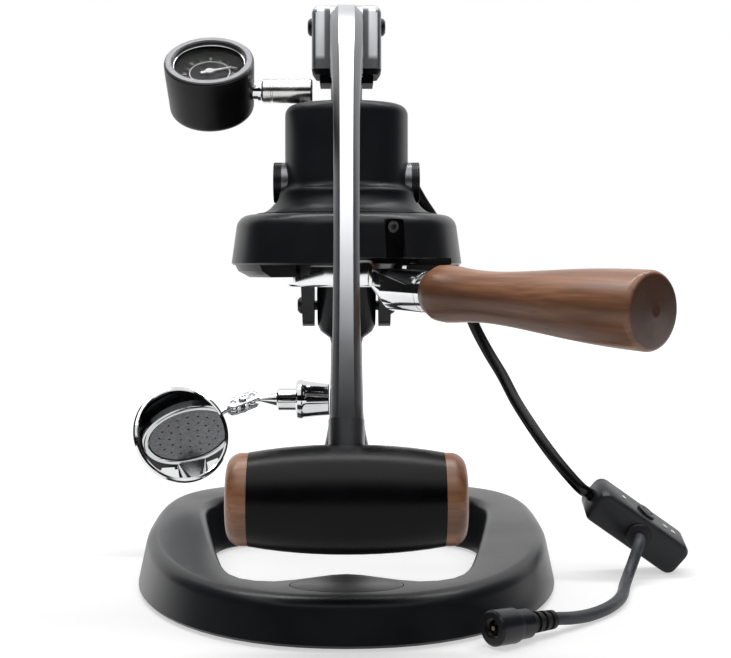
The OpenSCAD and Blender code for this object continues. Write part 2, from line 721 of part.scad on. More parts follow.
module collar() {
  color("#202123")
    difference() {
      union() {
        rotate_extrude($fn = 128)
          polygon(concat([[bayonet_r, group_z], [collar_r - 1, group_z], [collar_r, group_z + 1]],
            arc([collar_top_r - collar_round, collar_top - collar_round], collar_round, 6, 90, 9),
            [[tube_r + pass_fit, collar_top], [tube_r + pass_fit, flange_z + flange_h], [seat_r,
              flange_z + flange_h],
            [seat_r, group_z + bayonet_h], [bayonet_r, group_z + bayonet_h]]));
        collar_lip(lip_start);
        collar_lip(lip_start + 180);
        collar_lug(-1);
        collar_lug(1);
      }
      rotate([0, 0, -90])
        rotate_extrude(angle = 62)
          translate([bayonet_r - 1, group_z - 1])
            square([30, 4.6]);
      rotate([0, 0, strip_angle - 90])
        translate([collar_top_r - strip_depth, -strip_w / 2, group_z - 1])
          cube([20, strip_w, collar_h + 2]);
      rotate([0, 0, strip_angle - 90])
        translate([collar_top_r - strip_depth - 9, 0, collar_top - 7.5])
          along_x()
            cylinder(h = 20, d = set_screw_d + 2 * seat_fit);
    }
}

module collar_screw() {
  color("#2a2b2d")
    rotate([0, 0, strip_angle - 90])
      translate([collar_top_r - strip_depth - 8.8, 0, collar_top - 7.5])
        along_x()
          difference() {
            cylinder(h = 8.4, d = set_screw_d);
            translate([0, 0, 5.4])
              cylinder(h = 4, d = 0.58 * set_screw_d, $fn = 6);
          }
}

module lug_bolts() {
  color("#151617")
    for (x = [-1, 1])
      translate([x * lug_out, lug_y, lug_z])
        rotate([0, 90 * x, 0]) {
          translate([0, 0, -lug_t - lug_gap - 12])
            cylinder(h = lug_t + lug_gap + 12.5, d = bolt_d);
          difference() {
            rotate_extrude()
              polygon([[0, step], [5.4, step], [5.4, 0.8], [4.8, 2], [3.4, 3.2], [0, 3.3]]);
            translate([0, 0, 1.4])
              cylinder(h = 4, d = 4.4, $fn = 6);
          }
        }
}

module cradle() {
  color("#2b2c2f")
    difference() {
      union() {
        for (x = [-1, 1])
          translate([x > 0 ? arm_in : -arm_out, 0, 0])
            rotate([90, 0, 90])
              linear_extrude(height = cradle_t)
                union() {
                  translate([0, trunnion_z])
                    circle(d = arm_h);
                  translate([0, trunnion_z - arm_h / 2])
                    square([bridge_rear, arm_h]);
                }
        translate([-arm_out, cradle_y, trunnion_z - arm_h / 2])
          cube([2 * arm_out, cradle_t, arm_h]);
      }
      translate([-arm_out - 1, 0, trunnion_z])
        along_x()
          cylinder(h = 2 * arm_out + 2, d = bolt_d + 2 * seat_fit);
      for (x = [-1, 1])
        translate([x * arm_out, 0, trunnion_z])
          rotate([0, 90 * x, 0])
            translate([0, 0, -head_sink])
              cylinder(h = head_sink + 1, d = head_d + 2 * pass_fit);
      for (x = [-arm_out, arm_in])
        for (k = [1, 2, 3])
          translate([x + k * cradle_t / 4 - 0.3, 0, trunnion_z])
            along_x()
              rotate([0, 0, 180])
                rotate_extrude(angle = 180)
                  translate([arm_h / 2 - 0.6, 0])
                    square([3, 0.6]);
      for (z = [-6, 6])
        translate([0, cradle_y - 1, trunnion_z + z])
          rotate([-90, 0, 0])
            cylinder(h = cradle_t + 2, d = cradle_bolt_d + 2 * seat_fit);
    }
}

module cradle_bolts() {
  color("#1b1c1e")
    for (z = [-6, 6])
      translate([0, cradle_y, trunnion_z + z])
        rotate([-90, 0, 0]) {
          translate([0, 0, -3.2])
            difference() {
              cylinder(h = 3.2 - step, d = 9);
              translate([0, 0, -1])
                cylinder(h = 3, d = 4.6, $fn = 6);
            }
          translate([0, 0, -0.5])
            cylinder(h = cradle_t + 12, d = cradle_bolt_d);
        }
}

module trunnion_screws() {
  color("#151617")
    for (x = [-1, 1])
      translate([x * arm_out, 0, trunnion_z])
        rotate([0, 90 * x, 0])
          translate([0, 0, -head_sink]) {
            translate([0, 0, -cradle_t - 3.2])
              cylinder(h = cradle_t + 3.7, d = bolt_d);
            difference() {
              rotate_extrude()
                polygon([[0, step], [head_d / 2, step], [head_d / 2, 1], [head_d / 2 - 0.5, 1.5], [0, 1.5]]);
              translate([0, 0, 0.7])
                cylinder(h = 4, d = 0.6 * bolt_d, $fn = 6);
            }
          }
}

module brew_cylinder() {
  color("#b9bcc0")
    difference() {
      union() {
        translate([0, 0, flange_z])
          cylinder(h = tube_top - flange_z, r = tube_r);
        translate([0, 0, flange_z])
          cylinder(h = flange_h - seat_fit, r = seat_r - seat_fit);
        translate([-arm_in, 0, trunnion_z])
          along_x()
            cylinder(h = 2 * arm_in, d = trunnion_d);
      }
      translate([0, 0, flange_z - 1])
        cylinder(h = 100, r = bore_r);
      for (x = [-1, 1])
        translate([x * (arm_in + 1), 0, trunnion_z])
          rotate([0, -90 * x, 0])
            cylinder(h = 6.6, d = bolt_d + 2 * seat_fit);
    }
}

module cylinder_sleeve() {
  color("#1c1d1f")
    difference() {
      rotate_extrude($fn = 128)
        polygon(concat([[sleeve_in, collar_top + 0.1], [skirt_r - 0.6, collar_top + 0.1], [skirt_r,
          collar_top + 0.5]],
          arc(flare_mid, flare_r, 270, 185, 10), arc(shoulder_mid, shoulder_r, 0, 62, 5),
          arc(fillet_mid, fillet_r, 245, 180, 6),
          arc([sleeve_r - sleeve_round, sleeve_top - sleeve_round], sleeve_round, 0, 90, 6),
          [[bore_r + 0.8, sleeve_top], [bore_r + 0.8, tube_top + 0.1], [sleeve_in, tube_top + 0.1]]));
      translate([-60, 0, trunnion_z])
        along_x()
          cylinder(h = 120, d = trunnion_d + 2 * pass_fit);
      translate([0, 0, gland_z])
        rotate([0, 0, gland_angle])
          translate([20, 0, 0])
            along_x()
              cylinder(h = 30, d = gland_d + 2 * seat_fit);
      for (x = [-1, 1])
        translate([x > 0 ? arm_in - 0.2 : -80, -arm_h / 2 - 1, trunnion_z - arm_h / 2 - 1])
          cube([80 - arm_in + 0.2, 80, arm_h + 2]);
    }
}

module heater_band() {
  color("#8f5a34")
    difference() {
      translate([0, 0, collar_top + 4])
        cylinder(h = tube_top - collar_top - 8, r = tube_r + pass_fit + heater_t);
      translate([0, 0, collar_top])
        cylinder(h = 80, r = tube_r + pass_fit);
      translate([-60, 0, trunnion_z])
        along_x()
          cylinder(h = 120, d = trunnion_d + 1);
    }
}

module group_gasket() {
  color("#121314")
    translate([0, 0, rim_z])
      difference() {
        cylinder(h = gasket_h, r = seat_r - seat_fit);
        translate([0, 0, -1])
          cylinder(h = gasket_h + 2, r = bore_r + 2.6);
      }
}

module spray_screen() {
  color("#c3c6ca")
    translate([0, 0, flange_z - 1.2])
      difference() {
        cylinder(h = 1.2, r = bore_r + 2.4);
        for (ring = [1:3])
          for (k = [0:ring * 6 - 1])
            rotate([0, 0, k * 60 / ring])
              translate([ring * 6.6, 0, -1])
                cylinder(h = 4, d = 2.4, $fn = 16);
      }
}

module piston_head() {
  color("#a9adb2")
    difference() {
      translate([0, 0, piston_z])
        rotate_extrude()
          polygon([[0, 0], [bore_r - 1.4, 0], [bore_r - 0.4, 1], [bore_r - 0.4, 3], [bore_r - 2.6, 3],
            [bore_r - 2.6, 5.6], [bore_r - 0.4, 5.6], [bore_r - 0.4, piston_h - 5.6],
            [bore_r - 2.6, piston_h - 5.6], [bore_r - 2.6, piston_h - 3], [bore_r - 0.4, piston_h - 3],
            [bore_r - 0.4, piston_h], [0, piston_h]]);
      translate([0, 0, piston_z + 4])
        cylinder(h = piston_h, d = rod_d + 2 * seat_fit);
      translate([-riser_x, 0, piston_z - 1])
        cylinder(h = piston_h + 2, d = riser_d / 2);
      translate([-riser_x, 0, piston_z + piston_h - 2.6])
        cylinder(h = piston_h, d = riser_d + 2 * seat_fit);
    }
}

module piston_seals() {
  color("#0f1011")
    for (z = [3, piston_h - 5.6])
      translate([0, 0, piston_z + z + 0.1])
        difference() {
          cylinder(h = 2.4, r = bore_r - run_fit);
          translate([0, 0, -1])
            cylinder(h = 5, r = bore_r - 2.5);
        }
}

module piston_rod() {
  color("#b4b7bb")
    difference() {
      union() {
        translate([0, 0, piston_z + 4])
          cylinder(h = drive[1] - neck_len - piston_z - 4, d = rod_d);
        translate([-tongue_t / 2, -rod_d / 2, drive[1] - neck_len - 0.5])
          cube([tongue_t, rod_d, neck_len]);
        translate([-tongue_t / 2 + step, -tongue_half, drive[1] - tongue_h / 2])
          cube([tongue_t - 2 * step, 2 * tongue_half, tongue_h]);
      }
      translate([-tongue_t, 0, drive[1]]) {
        translate([0, drive_d / 2 - tongue_slot_half, -tongue_slot_h / 2])
          cube([2 * tongue_t, 2 * tongue_slot_half - drive_d, tongue_slot_h]);
        for (y = [-1, 1])
          translate([0, y * (tongue_slot_half - tongue_slot_h / 2), 0])
            along_x()
              cylinder(h = 2 * tongue_t, d = tongue_slot_h);
      }
    }
}

module gauge_riser() {
  color("#c9ccd0")
    difference() {
      translate([-riser_x, 0, piston_z + piston_h - 2.5])
        cylinder(h = gauge_z - barrel_d / 2 + 4.9 - piston_z - piston_h, d = riser_d);
      translate([-riser_x, 0, piston_z])
        cylinder(h = 100, d = riser_d / 2);
    }
}

module gauge_barrel() {
  color("#d4d6d9")
    difference() {
      translate([-barrel_end, 0, gauge_z])
        along_x()
          rotate_extrude()
            polygon([[0, 0], [barrel_d / 2 - 1, 0], [barrel_d / 2, 1], [barrel_d / 2, 5],
              [barrel_d / 2 - 0.5, 5.3],
              [barrel_d / 2 - 0.5, 6], [barrel_d / 2, 6.3], [barrel_d / 2, barrel_end - barrel_stop - 1],
              [barrel_d / 2 - 1, barrel_end - barrel_stop], [0, barrel_end - barrel_stop]]);
      translate([-barrel_end - 1, 0, gauge_z])
        along_x()
          cylinder(h = 14, d = 7 + 2 * run_fit);
      translate([-riser_x, 0, gauge_z - barrel_d])
        cylinder(h = barrel_d / 2 + 2.5, d = riser_d + 2 * seat_fit);
      translate([-riser_x, 0, gauge_z - barrel_d])
        cylinder(h = barrel_d, d = riser_d / 2);
    }
}

// Children on the gauge's own axis, with Z out through its dial
module on_gauge() {
  placed(gauge_pos, [1, 0, 0], gauge_way)
    children();
}

module gauge_stem() {
  color("#c9ccd0")
    translate([-gauge_x + gauge_r - 3, 0, gauge_z])
      along_x()
        rotate_extrude()
          polygon([[0, 0], [5, 0], [5, 4.6], [5.8, 4.6], [5.8, 6.2], [3.5, 6.2], [3.5, 19], [0, 19]]);
}

module gauge_case() {
  color("#1d1e20")
    difference() {
      on_gauge()
        rotate_extrude($fn = 96)
          polygon(concat([[0, gauge_back]], arc([gauge_r - 5.6, gauge_back + 4.5], 4.5, -90, -8, 6),
            [[gauge_r, gauge_front - 6], [gauge_r, gauge_front - 1.6], [gauge_r - 0.6, gauge_front - 1.2],
            [window_r + 1.6, gauge_front - 1.2], [window_r + 1.6, dial_at - 3], [0, dial_at - 3]]));
      translate([-gauge_x + gauge_r - 3.2, 0, gauge_z])
        along_x()
          cylinder(h = 20, d = 10 + 2 * seat_fit);
    }
}

module gauge_bezel() {
  color("#2a2b2e")
    on_gauge()
      rotate_extrude($fn = 96)
        polygon([[window_r, gauge_front - 3], [window_r + 1.5, gauge_front - 3], [window_r + 1.5,
          gauge_front - 1.1],
          [gauge_r - 0.6, gauge_front - 1.1], [gauge_r - 0.3, gauge_front - 0.6], [gauge_r - 1, gauge_front],
          [window_r + 0.8, gauge_front], [window_r, gauge_front - 0.8]]);
}

module gauge_dial() {
  color("#16171a")
    on_gauge()
      translate([0, 0, dial_at - 2.9])
        difference() {
          cylinder(h = 2.9, r = window_r + 1.5);
          translate([0, 0, -1])
            cylinder(h = 6, d = 2 + 2 * run_fit);
        }
}

module gauge_glass() {
  color("#dfe6ea")
    on_gauge()
      translate([0, 0, gauge_front - 5])
        cylinder(h = 1.9, r = window_r + 1.5);
}

module gauge_needle() {
  color("#f0f0f0")
    on_gauge()
      rotate([0, 0, needle_angle]) {
        translate([0, 0, dial_at - 2.4])
          cylinder(h = 4, d = 2);
        translate([0, 0, dial_at + 0.4])
          cylinder(h = 1, d = 4.6);
        translate([0, 0, dial_at + 0.5])
          linear_extrude(height = 0.6)
            polygon([[-5, 1.1], [-5, -1.1], [11.5, -0.35], [13, 0], [11.5, 0.35]]);
      }
}

module lever_arm() {
  color("#55575b")
    difference() {
      union() {
        skin([for (k = [0:lever_rows]) lever_section(0.02 + 0.98 * k / lever_rows)]);
        hull() {
          translate([-lever_half, fulcrum_y, fulcrum_z])
            along_x()
              cylinder(h = lever_root_w, r = eye_r);
          translate([-lever_half, drive[0], drive[1]])
            along_x()
              cylinder(h = lever_root_w, r = drive_boss_r);
        }
        placed([0, handle[0], handle[1]], [1, 0, 0], [0, -tang_way[0], -tang_way[1]])
          translate([0, 0, 2])
            cylinder(h = 34, d = tang_d);
      }
      translate([-lever_root_w, fulcrum_y, fulcrum_z])
        along_x()
          cylinder(h = 2 * lever_root_w, d = fulcrum_d + 2 * seat_fit);
      translate([-lever_root_w, drive[0], drive[1]])
        along_x()
          cylinder(h = 2 * lever_root_w, d = drive_d + 2 * run_fit);
      translate([-pocket_half, drive[0], drive[1]])
        along_x()
          cylinder(h = 2 * pocket_half, r = pocket_r);
      placed([0, handle[0], handle[1]], [1, 0, 0], [0, -tang_way[0], -tang_way[1]])
        cylinder(h = 20, d = fork_bolt_d + 2 * seat_fit);
    }
}

module fulcrum_pin() {
  color("#8d9095")
    translate([-fork_half, fulcrum_y, fulcrum_z])
      along_x()
        cylinder(h = 2 * fork_half, d = fulcrum_d);
}

module fulcrum_caps() {
  color("#131415")
    for (x = [-1, 1])
      translate([x * (fork_half + step), fulcrum_y, fulcrum_z])
        rotate([0, 90 * x, 0])
          difference() {
            rotate_extrude()
              polygon([[0, 0], [5, 0], [5, 0.7], [4.4, 1.6], [3.2, 2.3], [0, 2.5]]);
            translate([0, 0, 1.2])
              cylinder(h = 4, d = 3.4, $fn = 6);
          }
}

module drive_pin() {
  color("#9da0a5")
    translate([0.3 - lever_half, drive[0], drive[1]])
      along_x()
        cylinder(h = lever_root_w - 0.6, d = drive_d);
}

// Children on the handle's axis, with Z to the right
module on_handle() {
  translate([0, handle[0], handle[1]])
    along_x()
      children();
}

module handle_core() {
  color("#3a3b3e")
    difference() {
      on_handle()
        translate([0, 0, 1 - grip_len / 2])
          cylinder(h = grip_len - 2, d = core_d);
      placed([0, handle[0], handle[1]], [1, 0, 0], [0, -tang_way[0], -tang_way[1]]) {
        translate([0, 0, 1.9])
          cylinder(h = 40, d = tang_d + 2 * seat_fit);
        translate([0, 0, -40])
          cylinder(h = 60, d = fork_bolt_d + 2 * seat_fit);
        translate([0, 0, -40])
          cylinder(h = 34, d = 13.4);
      }
    }
}

module handle_bolt() {
  color("#1b1c1e")
    placed([0, handle[0], handle[1]], [1, 0, 0], [0, -tang_way[0], -tang_way[1]]) {
      translate([0, 0, -core_d / 2 + 1.4])
        difference() {
          cylinder(h = core_d / 2 - 7.5, d = 13);
          translate([0, 0, -1])
            cylinder(h = 4, d = 6, $fn = 6);
        }
      translate([0, 0, -6.5])
        cylinder(h = 25, d = fork_bolt_d);
    }
}

module handle_grip() {
  color("#1e1f21")
    difference() {
      on_handle()
        rotate_extrude($fn = 96)
          polygon(concat([[core_d / 2 + seat_fit, -grip_len / 2]],
            [for (k = [0:12]) let (t = k / 6 - 1)
              [grip_end_d / 2 + (grip_mid_d - grip_end_d) / 2 * (1 - pow(abs(t), 2.2)), t * grip_len / 2]],
            [[core_d / 2 + seat_fit, grip_len / 2]]));
      placed([0, handle[0], handle[1]], [1, 0, 0], [0, -tang_way[0], -tang_way[1]])
        cylinder(h = 60, d = tang_d + 2 * pass_fit);
    }
}

module handle_caps() {
  color("#6b4226")
    for (x = [-1, 1])
      translate([x * (grip_len / 2 + 0.1), handle[0], handle[1]])
        rotate([0, 90 * x, 0])
          rotate_extrude($fn = 96)
            polygon(concat([[0, -1], [core_d / 2 - 0.2, -1], [core_d / 2 - 0.2, 0],
              [grip_end_d / 2 - 0.2, 0]],
              arc([grip_end_d / 2 - 0.2 - 7, cap_len - 7], 7, 6, 84, 7), [[0, cap_len]]));
}

// Children on the portafilter handle's axis: Z runs out along the handle from the brew axis
module on_filter() {
  way = [filter_way[0] * cos(filter_slope), filter_way[1] * cos(filter_slope), -sin(filter_slope)];
  side = [-filter_way[1], filter_way[0], 0];
  placed([0, 0, wood_z], side, way)
    children();
}

module portafilter_body() {
  color("#cdd0d4")
    difference() {
      union() {
        translate([0, 0, group_z - filter_drop])
          rotate_extrude($fn = 128)
            polygon([[filter_r - 4.4, 0.6], [filter_r - 3.8, 0], [filter_r - 1, 0], [filter_r, 1],
              [filter_r, rim_z - 1.6 - group_z + filter_drop - 0.6],
              [filter_r - 0.6, rim_z - 1.6 - group_z + filter_drop],
              [filter_r - 4.4, rim_z - 1.6 - group_z + filter_drop]]);
        for (side = [-1, 1])
          rotate([0, 0, lip_start + (lip_turn - lug_turn) / 2 + 90 * (side + 1)])
            rotate_extrude(angle = lug_turn)
              translate([filter_r - 2, group_z + 0.6])
                square([bayonet_r - filter_r + 1, 4.6]);
        hull() {
          on_filter()
            translate([0, 0, neck_start])
              cylinder(h = wood_start - 4 - neck_start, r1 = neck_r, r2 = neck_r - 0.4, $fn = 40);
          translate([0, 0, group_z - filter_drop + 1])
            rotate([0, 0, filter_deg])
              translate([filter_r - 3.4, -10.5, 0])
                cube([2, 21, 8.4]);
        }
        on_filter()
          translate([0, 0, wood_start - 4])
            cylinder(h = 4, r = neck_r - 0.6);
      }
      translate([0, 0, group_z - 2 * filter_drop])
        cylinder(h = 4 * filter_drop, r = filter_r - 4.4);
      on_filter()
        translate([0, 0, wood_start - stud_in_neck - 2])
          cylinder(h = stud_in_neck + 4, d = stud_d + 2 * seat_fit);
    }
}

module filter_basket() {
  color("#b9bcc0")
    difference() {
      translate([0, 0, group_z - filter_drop + 1.2])
        union() {
          cylinder(h = rim_z - group_z + filter_drop - 1.3, r = filter_r - 5.4);
          translate([0, 0, rim_z - group_z + filter_drop - 2.7])
            cylinder(h = 1.4, r = filter_r - 0.6);
        }
      translate([0, 0, group_z - filter_drop + 2.2])
        cylinder(h = 60, r = filter_r - 6.4);
      for (ring = [1:3])
        for (k = [0:ring * 6 - 1])
          rotate([0, 0, k * 60 / ring + 10])
            translate([ring * 7.4, 0, group_z - filter_drop])
              cylinder(h = 6, d = 1.6, $fn = 16);
    }
}

module basket_spring() {
  color("#8d9095")
    translate([0, 0, group_z - filter_drop + 8])
      rotate([0, 0, filter_deg + 40])
        rotate_extrude(angle = 280)
          translate([filter_r - 4.9, 0])
            square([0.4, 1.6]);
}

module portafilter_handle() {
  color("#7a4a2a")
    difference() {
      on_filter()
        rotate_extrude($fn = 96)
          polygon(concat([[0, wood_start], [neck_r - 0.6, wood_start]],
            [for (k = [0:24]) [wood_radius(k / 24), wood_start + 0.4 + wood_side * k / 24]],
            arc([wood_radius(1) - wood_round, wood_end - wood_crown - wood_round], wood_round, 6, 84, 6),
            [[0, wood_end]]));
      on_filter()
        translate([0, 0, wood_start - 1])
          cylinder(h = stud_in_wood + 3, d = stud_d + 2 * seat_fit);
    }
}

module handle_stud() {
  color("#9da0a5")
    on_filter()
      translate([0, 0, wood_start - stud_in_neck])
        cylinder(h = stud_in_neck + stud_in_wood, d = stud_d);
}

module mirror_magnet() {
  color("#d4d6d9")
    union() {
      translate([magnet_x, magnet_y, magnet_z])
        rotate([0, -90, 0])
          rotate_extrude($fn = 72)
            polygon([[0, 0], [magnet_face_r, 0], [magnet_face_r + 0.4, 0.5], [magnet_d / 2 - 1,
              magnet_len - 5],
              [magnet_d / 2, magnet_len - 3.4], [magnet_d / 2 - 0.6, magnet_len - 1],
              [magnet_d / 2 - 2, magnet_len], [boss_r, magnet_len], [boss_r, magnet_len + 11],
              [boss_r - 0.8, magnet_len + 12], [boss_r - 2.8, magnet_len + 12.4],
              [1.6, magnet_len + magnet_rod - 6], [1.3, magnet_len + magnet_rod - 4.6],
              [1.3, magnet_len + magnet_rod - 1], [0, magnet_len + magnet_rod - 1]]);
      translate(ball_one)
        sphere(d = ball_d, $fn = 40);
    }
}

// Children in the knuckle's frame: X along the knuckle from the first ball and Z through its plates
module on_knuckle() {
  placed(ball_one, knuckle_way, knuckle_up)
    children();
}

module knuckle_plates() {
  color("#b9bcc0")
    on_knuckle()
      for (z = [plate_in, -plate_in - plate_t])
        translate([0, 0, z])
          difference() {
            union() {
              cylinder(h = plate_t, r = plate_half);
              translate([knuckle_len, 0, 0])
                cylinder(h = plate_t, r = plate_half);
              translate([0, -plate_half, 0])
                cube([knuckle_len, 2 * plate_half, plate_t]);
            }
            for (x = [0, knuckle_len])
              translate([x, 0, -1])
                cylinder(h = plate_t + 2, d = ball_d - 1.8);
            translate([knuckle_len / 2, 0, -1])
              cylinder(h = plate_t + 2, d = 3 + 2 * seat_fit);
          }
}

module knuckle_screw() {
  color("#9da0a5")
    on_knuckle()
      translate([knuckle_len / 2, 0, 0]) {
        translate([0, 0, -plate_in - plate_t - 2])
          cylinder(h = 2 * (plate_in + plate_t) + 2.5, d = 3);
        translate([0, 0, plate_in + plate_t + step])
          difference() {
            cylinder(h = 1.8, d = 5.6);
            translate([-3, -0.4, 0.9])
              cube([6, 0.8, 2]);
          }
        translate([0, 0, -plate_in - plate_t - 2 - step])
          cylinder(h = 2, d = 5.6, $fn = 24);
      }
}

module mirror_frame() {
  color("#d4d6d9")
    union() {
      translate(ball_two)
        sphere(d = ball_d, $fn = 40);
      placed(ball_two, mirror_way, -stem_way)
        cylinder(h = stem_len + 1.4, d = 3.2);
      placed(mirror_at, stem_way, mirror_way)
        rotate_extrude($fn = 96)
          polygon([[0, -3.2], [mirror_r - 3, -3.2], [mirror_r - 0.8, -2.4], [mirror_r, -0.6], [mirror_r, 0.9],
            [mirror_r - 0.8, 2.1], [mirror_r - 2, 2.5], [mirror_r - 2.8, 1.8], [mirror_r - 2.8, -0.6],
              [0, -0.6]]);
    }
}

module mirror_glass() {
  color("#e8ecef")
    placed(mirror_at, stem_way, mirror_way)
      translate([0, 0, -0.5])
        cylinder(h = 2, r = mirror_r - 2.9);
}

module lead_gland() {
  color("#161718")
    translate([0, 0, gland_z])
      rotate([0, 0, gland_angle])
        along_x() {
          translate([0, 0, tube_r + heater_t + 2 * pass_fit])
            cylinder(h = 6, d = gland_d);
          translate([0, 0, sleeve_r + 0.2])
            difference() {
              cylinder(h = gland_len - 0.2, d1 = 13, d2 = 10);
              for (k = [2, 4.4])
                translate([0, 0, k])
                  difference() {
                    cylinder(h = 1, d = 20);
                    translate([0, 0, -1])
                      cylinder(h = 3, d = 9);
                  }
            }
        }
}

module lead_cord() {
  color("#121314")
    route_tube(lead_route, lead_d / 2, 10, 2, [0, 1, 0]);
}

// Children in the controller's frame: X along it, Y up its face and Z out through its face
module on_box() {
  placed(box_at, box_way, box_face)
    children();
}

// Controller body: rounded rectangles drawn in toward its front and rear faces
function box_section(inset, z) =
  let (w = box_len / 2 - inset, h = box_h / 2 - inset, r = box_round - inset * 0.6)
  [for (c = [3:-1:0]) for (k = [4:-1:0])
    let (a = c * 90 + k * 22.5, x = (c == 0 || c == 3 ? 1 : -1) * (w - r), y = (c < 2 ? 1 : -1) * (h - r))
    [x + r * cos(a), y + r * sin(a), z]];
module box_block() {
  skin([box_section(2.6, -box_t / 2), box_section(0.9, 0.9 - box_t / 2), box_section(0, 2.8 - box_t / 2),
    box_section(0, box_t / 2 - 2.8), box_section(0.9, box_t / 2 - 0.9), box_section(2.6, box_t / 2)]);
}

module controller_shell(half) {
  on_box()
    difference() {
      box_block();
      cube([box_len - 2 * box_wall - 4, box_h - 2 * box_wall - 3, box_t - 2 * box_wall - 3], center = true);
      translate([-60, half > 0 ? box_split - step : box_split - 100, -60])
        cube([120, 100, 120]);
      translate([-box_len / 2 - 1, 0, 0])
        along_x()
          cylinder(h = 2.7, d = lead_d + 2 * seat_fit);
      translate([0, 0, box_t / 2 - 2])
        cylinder(h = 5, d = 9.4 + 2 * seat_fit);
      translate([0, box_h / 2 - 1.6, 0])
        rotate([-90, 0, 0])
          cylinder(h = 5, d = 11 + 2 * pass_fit);
      for (x = [-16, 14, 20])
        translate([x, box_h / 2 - 1.2, 0])
          rotate([-90, 0, 0])
            cylinder(h = 5, d = 3 + 2 * seat_fit);
    }
}

module controller_bottom() {
  color("#202123")
    controller_shell(1);
}

module controller_top() {
  color("#242527")
    controller_shell(-1);
}

module controller_board() {
  color("#24513a")
    on_box()
      translate([-box_len / 2 + box_wall + 2.4, -box_h / 2 + box_wall + 1.6, -4])
        cube([box_len - 2 * box_wall - 4.8, 10, 1.6]);
}

module controller_lights() {
  color("#d9dcde")
    on_box()
      for (x = [-16, 14, 20])
        translate([x, box_h / 2 - 1.1, 0])
          rotate([-90, 0, 0])
            cylinder(h = 1.4, d = 3);
}

module controller_button() {
  color("#2e2f31")
    on_box()
      translate([0, box_h / 2 - 0.6, 0])
        rotate([-90, 0, 0])
          difference() {
            cylinder(h = 2, d = 11);
            translate([0, 0, 1.7])
              difference() {
                cylinder(h = 2, d = 7);
                translate([0, 0, -1])
                  cylinder(h = 4, d = 5.4);
              }
          }
}

module pigtail_grommet() {
  color("#191a1b")
    on_box() {
      translate([0, 0, box_t / 2 - 1.9])
        cylinder(h = 2, d = 9.4);
      translate([0, 0, box_t / 2 + step])
        rotate_extrude()
          polygon([[0, 0], [7.4, 0], [7.4, 0.8], [6.8, 1.6], [4.6, 2.5 - step], [0, 2.5 - step]]);
    }
}

module pigtail_cord() {
  color("#1a1b1c")
    route_tube(pigtail_route, pigtail_d / 2, 10, 3, [0, 0, 1]);
}

// Children on the jack's axis: Z runs back from its open face
module on_jack() {
  placed(jack_at, jack_top, -jack_way)
    children();
}

module jack_shell() {
  color("#161718")
    on_jack()
      difference() {
        rotate_extrude()
          polygon([[0, jack_len], [jack_d / 2 - 2.2, jack_len], [jack_d / 2 - 1.4, jack_len - 1],
            [jack_d / 2 - 1.2, jack_step + 0.6], [jack_d / 2 - 0.2, jack_step], [jack_d / 2, jack_step - 1],
            [jack_d / 2, 1], [jack_d / 2 - 1, 0], [0, 0]]);
        translate([0, 0, -1])
          cylinder(h = 11, d = 9);
      }
}

module jack_contacts() {
  color("#c9b26a")
    on_jack() {
      translate([0, 0, 1])
        cylinder(h = 9 - step, d = 2.1);
      translate([0, 0, 2])
        difference() {
          cylinder(h = 8 - step, d = 9 - 2 * seat_fit);
          translate([0, 0, -1])
            cylinder(h = 11, d = 7.6);
        }
    }
}

module jack_relief() {
  color("#1b1c1d")
    on_jack()
      difference() {
        translate([0, 0, jack_len + step])
          cylinder(h = relief_len - step, d1 = 10.4, d2 = 9);
        for (k = [0.16, 0.44, 0.72])
          translate([0, 0, jack_len + k * relief_len])
            difference() {
              cylinder(h = 0.12 * relief_len, d = 20);
              translate([0, 0, -1])
                cylinder(h = 5, d = pigtail_d + 1.6);
            }
      }
}

base_ring();
base_feet();
base_badge();
post();
post_bolts();
fork_shim();
lever_fork();
fork_bolt();
collar();
collar_screw();
lug_bolts();
cradle();
cradle_bolts();
trunnion_screws();
brew_cylinder();
cylinder_sleeve();
heater_band();
group_gasket();
spray_screen();
lead_gland();
lead_cord();
controller_bottom();
controller_top();
controller_board();
controller_lights();
controller_button();
pigtail_grommet();
pigtail_cord();
jack_shell();
jack_contacts();
jack_relief();
piston_head();
piston_seals();
piston_rod();
gauge_riser();
gauge_barrel();
gauge_case();
gauge_stem();
gauge_bezel();
gauge_dial();
gauge_glass();
gauge_needle();
lever_arm();
fulcrum_pin();
fulcrum_caps();
drive_pin();
handle_core();
handle_bolt();
handle_grip();
handle_caps();
portafilter_body();
filter_basket();
basket_spring();
portafilter_handle();
handle_stud();
mirror_magnet();
knuckle_plates();
knuckle_screw();
mirror_frame();
mirror_glass();
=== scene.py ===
import math

import bpy
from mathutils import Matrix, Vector


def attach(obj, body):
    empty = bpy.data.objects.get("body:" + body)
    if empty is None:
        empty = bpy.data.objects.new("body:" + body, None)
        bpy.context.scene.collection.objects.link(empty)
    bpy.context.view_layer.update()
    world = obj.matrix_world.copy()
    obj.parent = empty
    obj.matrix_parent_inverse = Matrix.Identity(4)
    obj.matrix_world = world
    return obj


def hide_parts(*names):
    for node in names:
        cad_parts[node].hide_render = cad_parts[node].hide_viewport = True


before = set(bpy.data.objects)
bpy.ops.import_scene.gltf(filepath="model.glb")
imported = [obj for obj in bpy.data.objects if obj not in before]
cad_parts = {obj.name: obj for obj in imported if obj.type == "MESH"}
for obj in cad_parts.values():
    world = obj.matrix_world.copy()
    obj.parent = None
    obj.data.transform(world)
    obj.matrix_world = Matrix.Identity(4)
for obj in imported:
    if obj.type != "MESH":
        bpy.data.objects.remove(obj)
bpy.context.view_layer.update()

# Camera: level with the brew head, straight in front of the machine, on a long lens.
# The picture is framed by shifting the lens, so upright edges stay upright.
picture_width, picture_height = 731, 658
lens_centre_x, lens_centre_y = 346.5, 265
focal_pixels = 1372
camera_data = bpy.data.cameras.new("camera")
camera_data.sensor_width = 36
